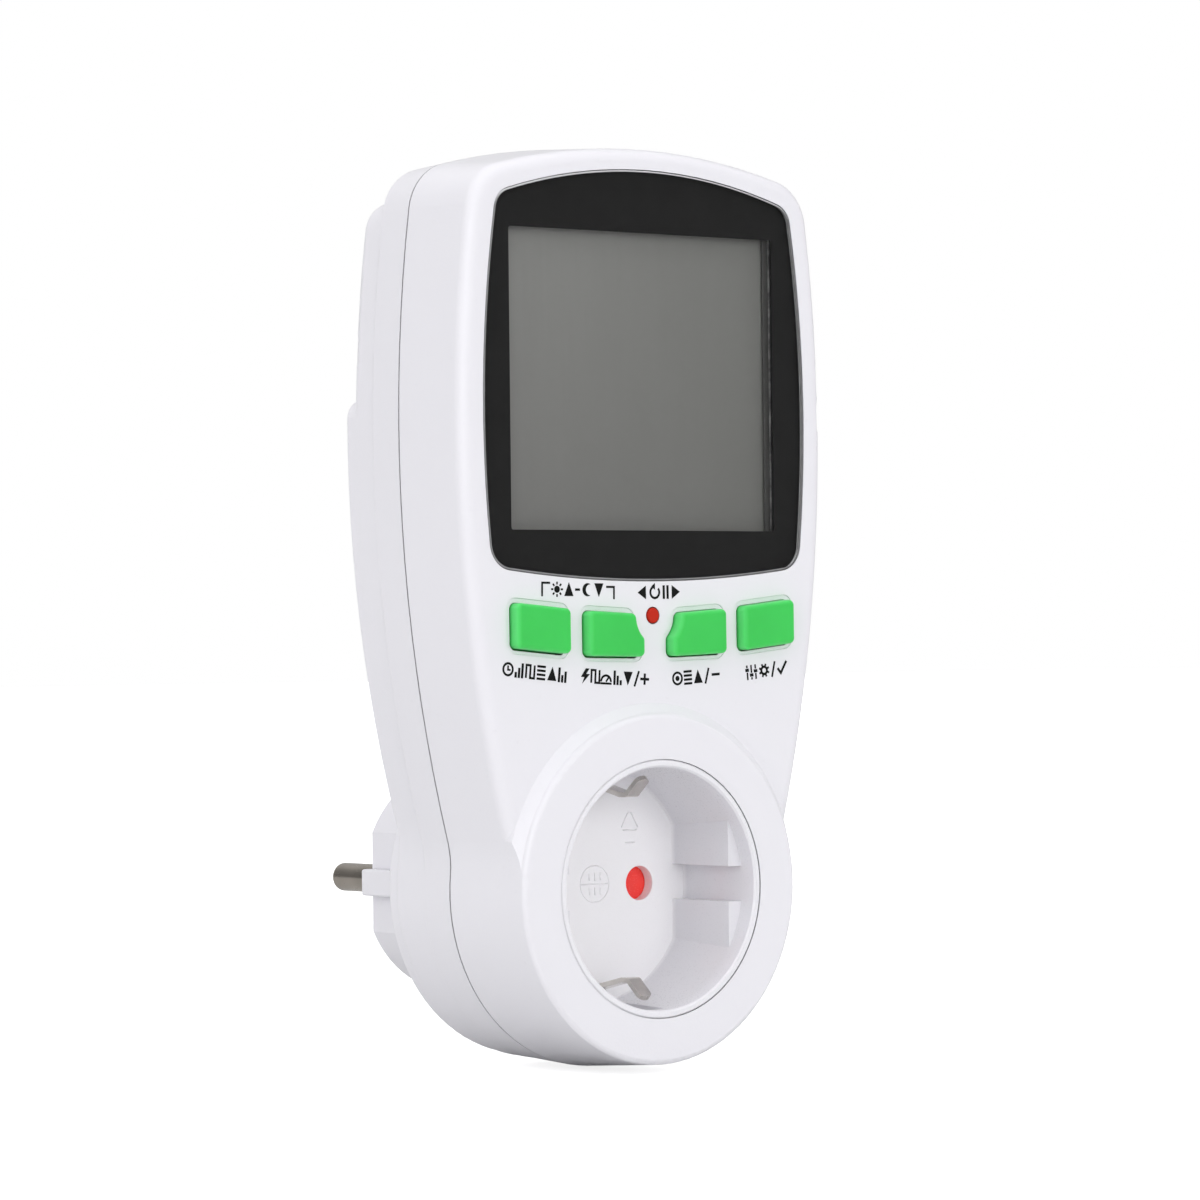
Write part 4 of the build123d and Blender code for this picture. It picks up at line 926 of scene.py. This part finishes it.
# ------------------------------------------------------------------ stage, light, camera
def floor_material():
    """Pale floor that glows only for the camera, so that it shows close to white."""
    mat = Shader("floor_pale")
    noise = mat.noise(scale=3.0, detail=2.0)
    seen = mat.node("ShaderNodeLightPath").outputs["Is Camera Ray"]
    mat.set(
        Base_Color=mat.mix(noise, (0.70, 0.70, 0.70), (0.72, 0.72, 0.72)),
        Roughness=0.9,
        Emission_Color=(1.0, 1.0, 1.0),
        Emission_Strength=mat.math("MULTIPLY", seen, 0.80),
    )
    return mat


def build_floor():
    size, gap = 12.0, 0.0004  # metres; gap below the lowest point of the object
    shader = floor_material()
    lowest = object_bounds()[0][2]
    bm = bmesh.new()
    bmesh.ops.create_grid(bm, x_segments=1, y_segments=1, size=size / 2)
    floor = add_mesh(bm, "floor", (shader,))
    floor.location = (0, 0, lowest - gap)
    bpy.context.scene.collection.objects.link(floor)


# Soft patches of light: strength, direction, full within and gone beyond these degrees
DIFFUSE_BASE = 0.31
DIFFUSE_PATCHES = (
    (3.08, (-0.10, -1.0, 0.08), 6, 34),  # front
    (1.42, (-1.0, -0.15, 0.12), 10, 52),  # left
    (1.02, (0.0, -0.1, 1.0), 10, 52),  # above
    (0.98, (1.0, -0.2, 0.12), 10, 52),  # right
    (1.00, (0.0, 1.0, 0.12), 10, 52),  # behind
)
GLOSSY_BASE = 0.20
GLOSSY_PATCHES = (
    (0.8, (0.0, 0.0, 1.0), 25, 60),  # above
    (0.6, (-1.0, -0.25, 0.25), 20, 45),  # left
    (0.45, (0.2, 1.0, 0.2), 10, 50),  # behind
    (0.9, (-0.3, -1.0, 0.35), 4, 16),  # front, raised
    (2.0, (-0.78, -0.63, 0.10), 8, 26),  # front left
)


def build_world():
    """White to the camera, a soft tent for diffuse light, large dim panels for reflections."""
    world = bpy.data.worlds.new("studio")
    bpy.context.scene.world = world
    world.use_nodes = True
    world.cycles.sampling_method = "NONE"
    sky = NodeTree(world.node_tree)
    view = sky.node("ShaderNodeTexCoord").outputs["Generated"]

    def patch(direction, inner, outer):
        """1 within inner degrees of a direction, falling smoothly to 0 at outer degrees."""
        fade = sky.node(
            "ShaderNodeMapRange",
            options=dict(interpolation_type="SMOOTHSTEP"),
            From_Min=math.cos(math.radians(outer)),
            From_Max=math.cos(math.radians(inner)),
            Value=sky.dot(view, Vector(direction).normalized()),
        )
        return fade.outputs["Result"]

    def total(base, patches):
        for gain, direction, inner, outer in patches:
            light = sky.math("MULTIPLY", patch(direction, inner, outer), gain)
            base = sky.math("ADD", light, base)
        return base

    def pick(switch, off, on):
        """off where the switch is 0, on where it is 1."""
        keep = sky.math("SUBTRACT", 1.0, switch)
        return sky.math("ADD", sky.math("MULTIPLY", off, keep), sky.math("MULTIPLY", on, switch))

    ray = sky.node("ShaderNodeLightPath").outputs
    diffuse = total(DIFFUSE_BASE, DIFFUSE_PATCHES)
    glossy = total(GLOSSY_BASE, GLOSSY_PATCHES)
    strength = pick(ray["Is Glossy Ray"], off=diffuse, on=glossy)
    strength = pick(ray["Is Camera Ray"], off=strength, on=1.0)
    background = world.node_tree.nodes["Background"]
    sky.feed(background.inputs["Color"], (1.0, 1.0, 1.0))
    sky.feed(background.inputs["Strength"], strength)


def build_key_light():
    """Weak square panel above, in front and to the left."""
    place, target = Vector((-0.45, -0.75, 0.95)), Vector((0, -0.05, 0.05))
    data = bpy.data.lights.new("key_light", "AREA")
    data.shape = "RECTANGLE"
    data.size = data.size_y = 0.6
    data.energy = 0.20
    light = bpy.data.objects.new("key_light", data)
    light.location = place
    light.rotation_euler = (target - place).to_track_quat("-Z", "Y").to_euler()
    bpy.context.scene.collection.objects.link(light)


def build_camera():
    """Long lens in front and to the left, almost level, aimed at a point on the casing."""
    yaw, pitch, roll = math.radians(38.938), math.radians(0.462), math.radians(-0.62)
    aim = Vector((-0.012256, -0.0555, 0.046309))
    distance = 0.760532
    forward = Vector(
        (math.sin(yaw) * math.cos(pitch), math.cos(yaw) * math.cos(pitch), math.sin(pitch))
    )
    right = Vector((math.cos(yaw), -math.sin(yaw), 0))
    up = right.cross(forward)
    rolled_right = math.cos(roll) * right + math.sin(roll) * up
    rolled_up = -math.sin(roll) * right + math.cos(roll) * up
    pose = Matrix((rolled_right, rolled_up, -forward)).transposed().to_4x4()
    pose.translation = aim - distance * forward

    data = bpy.data.cameras.new("camera")
    data.sensor_width = 36.0
    data.lens = 143.85135
    data.clip_start = 0.01
    camera = bpy.data.objects.new("camera", data)
    camera.matrix_world = pose
    bpy.context.scene.collection.objects.link(camera)
    bpy.context.scene.camera = camera


build_floor()
build_world()
build_key_light()
build_camera()
bpy.context.scene.view_settings.view_transform = "Standard"
bpy.context.scene.view_settings.look = "None"
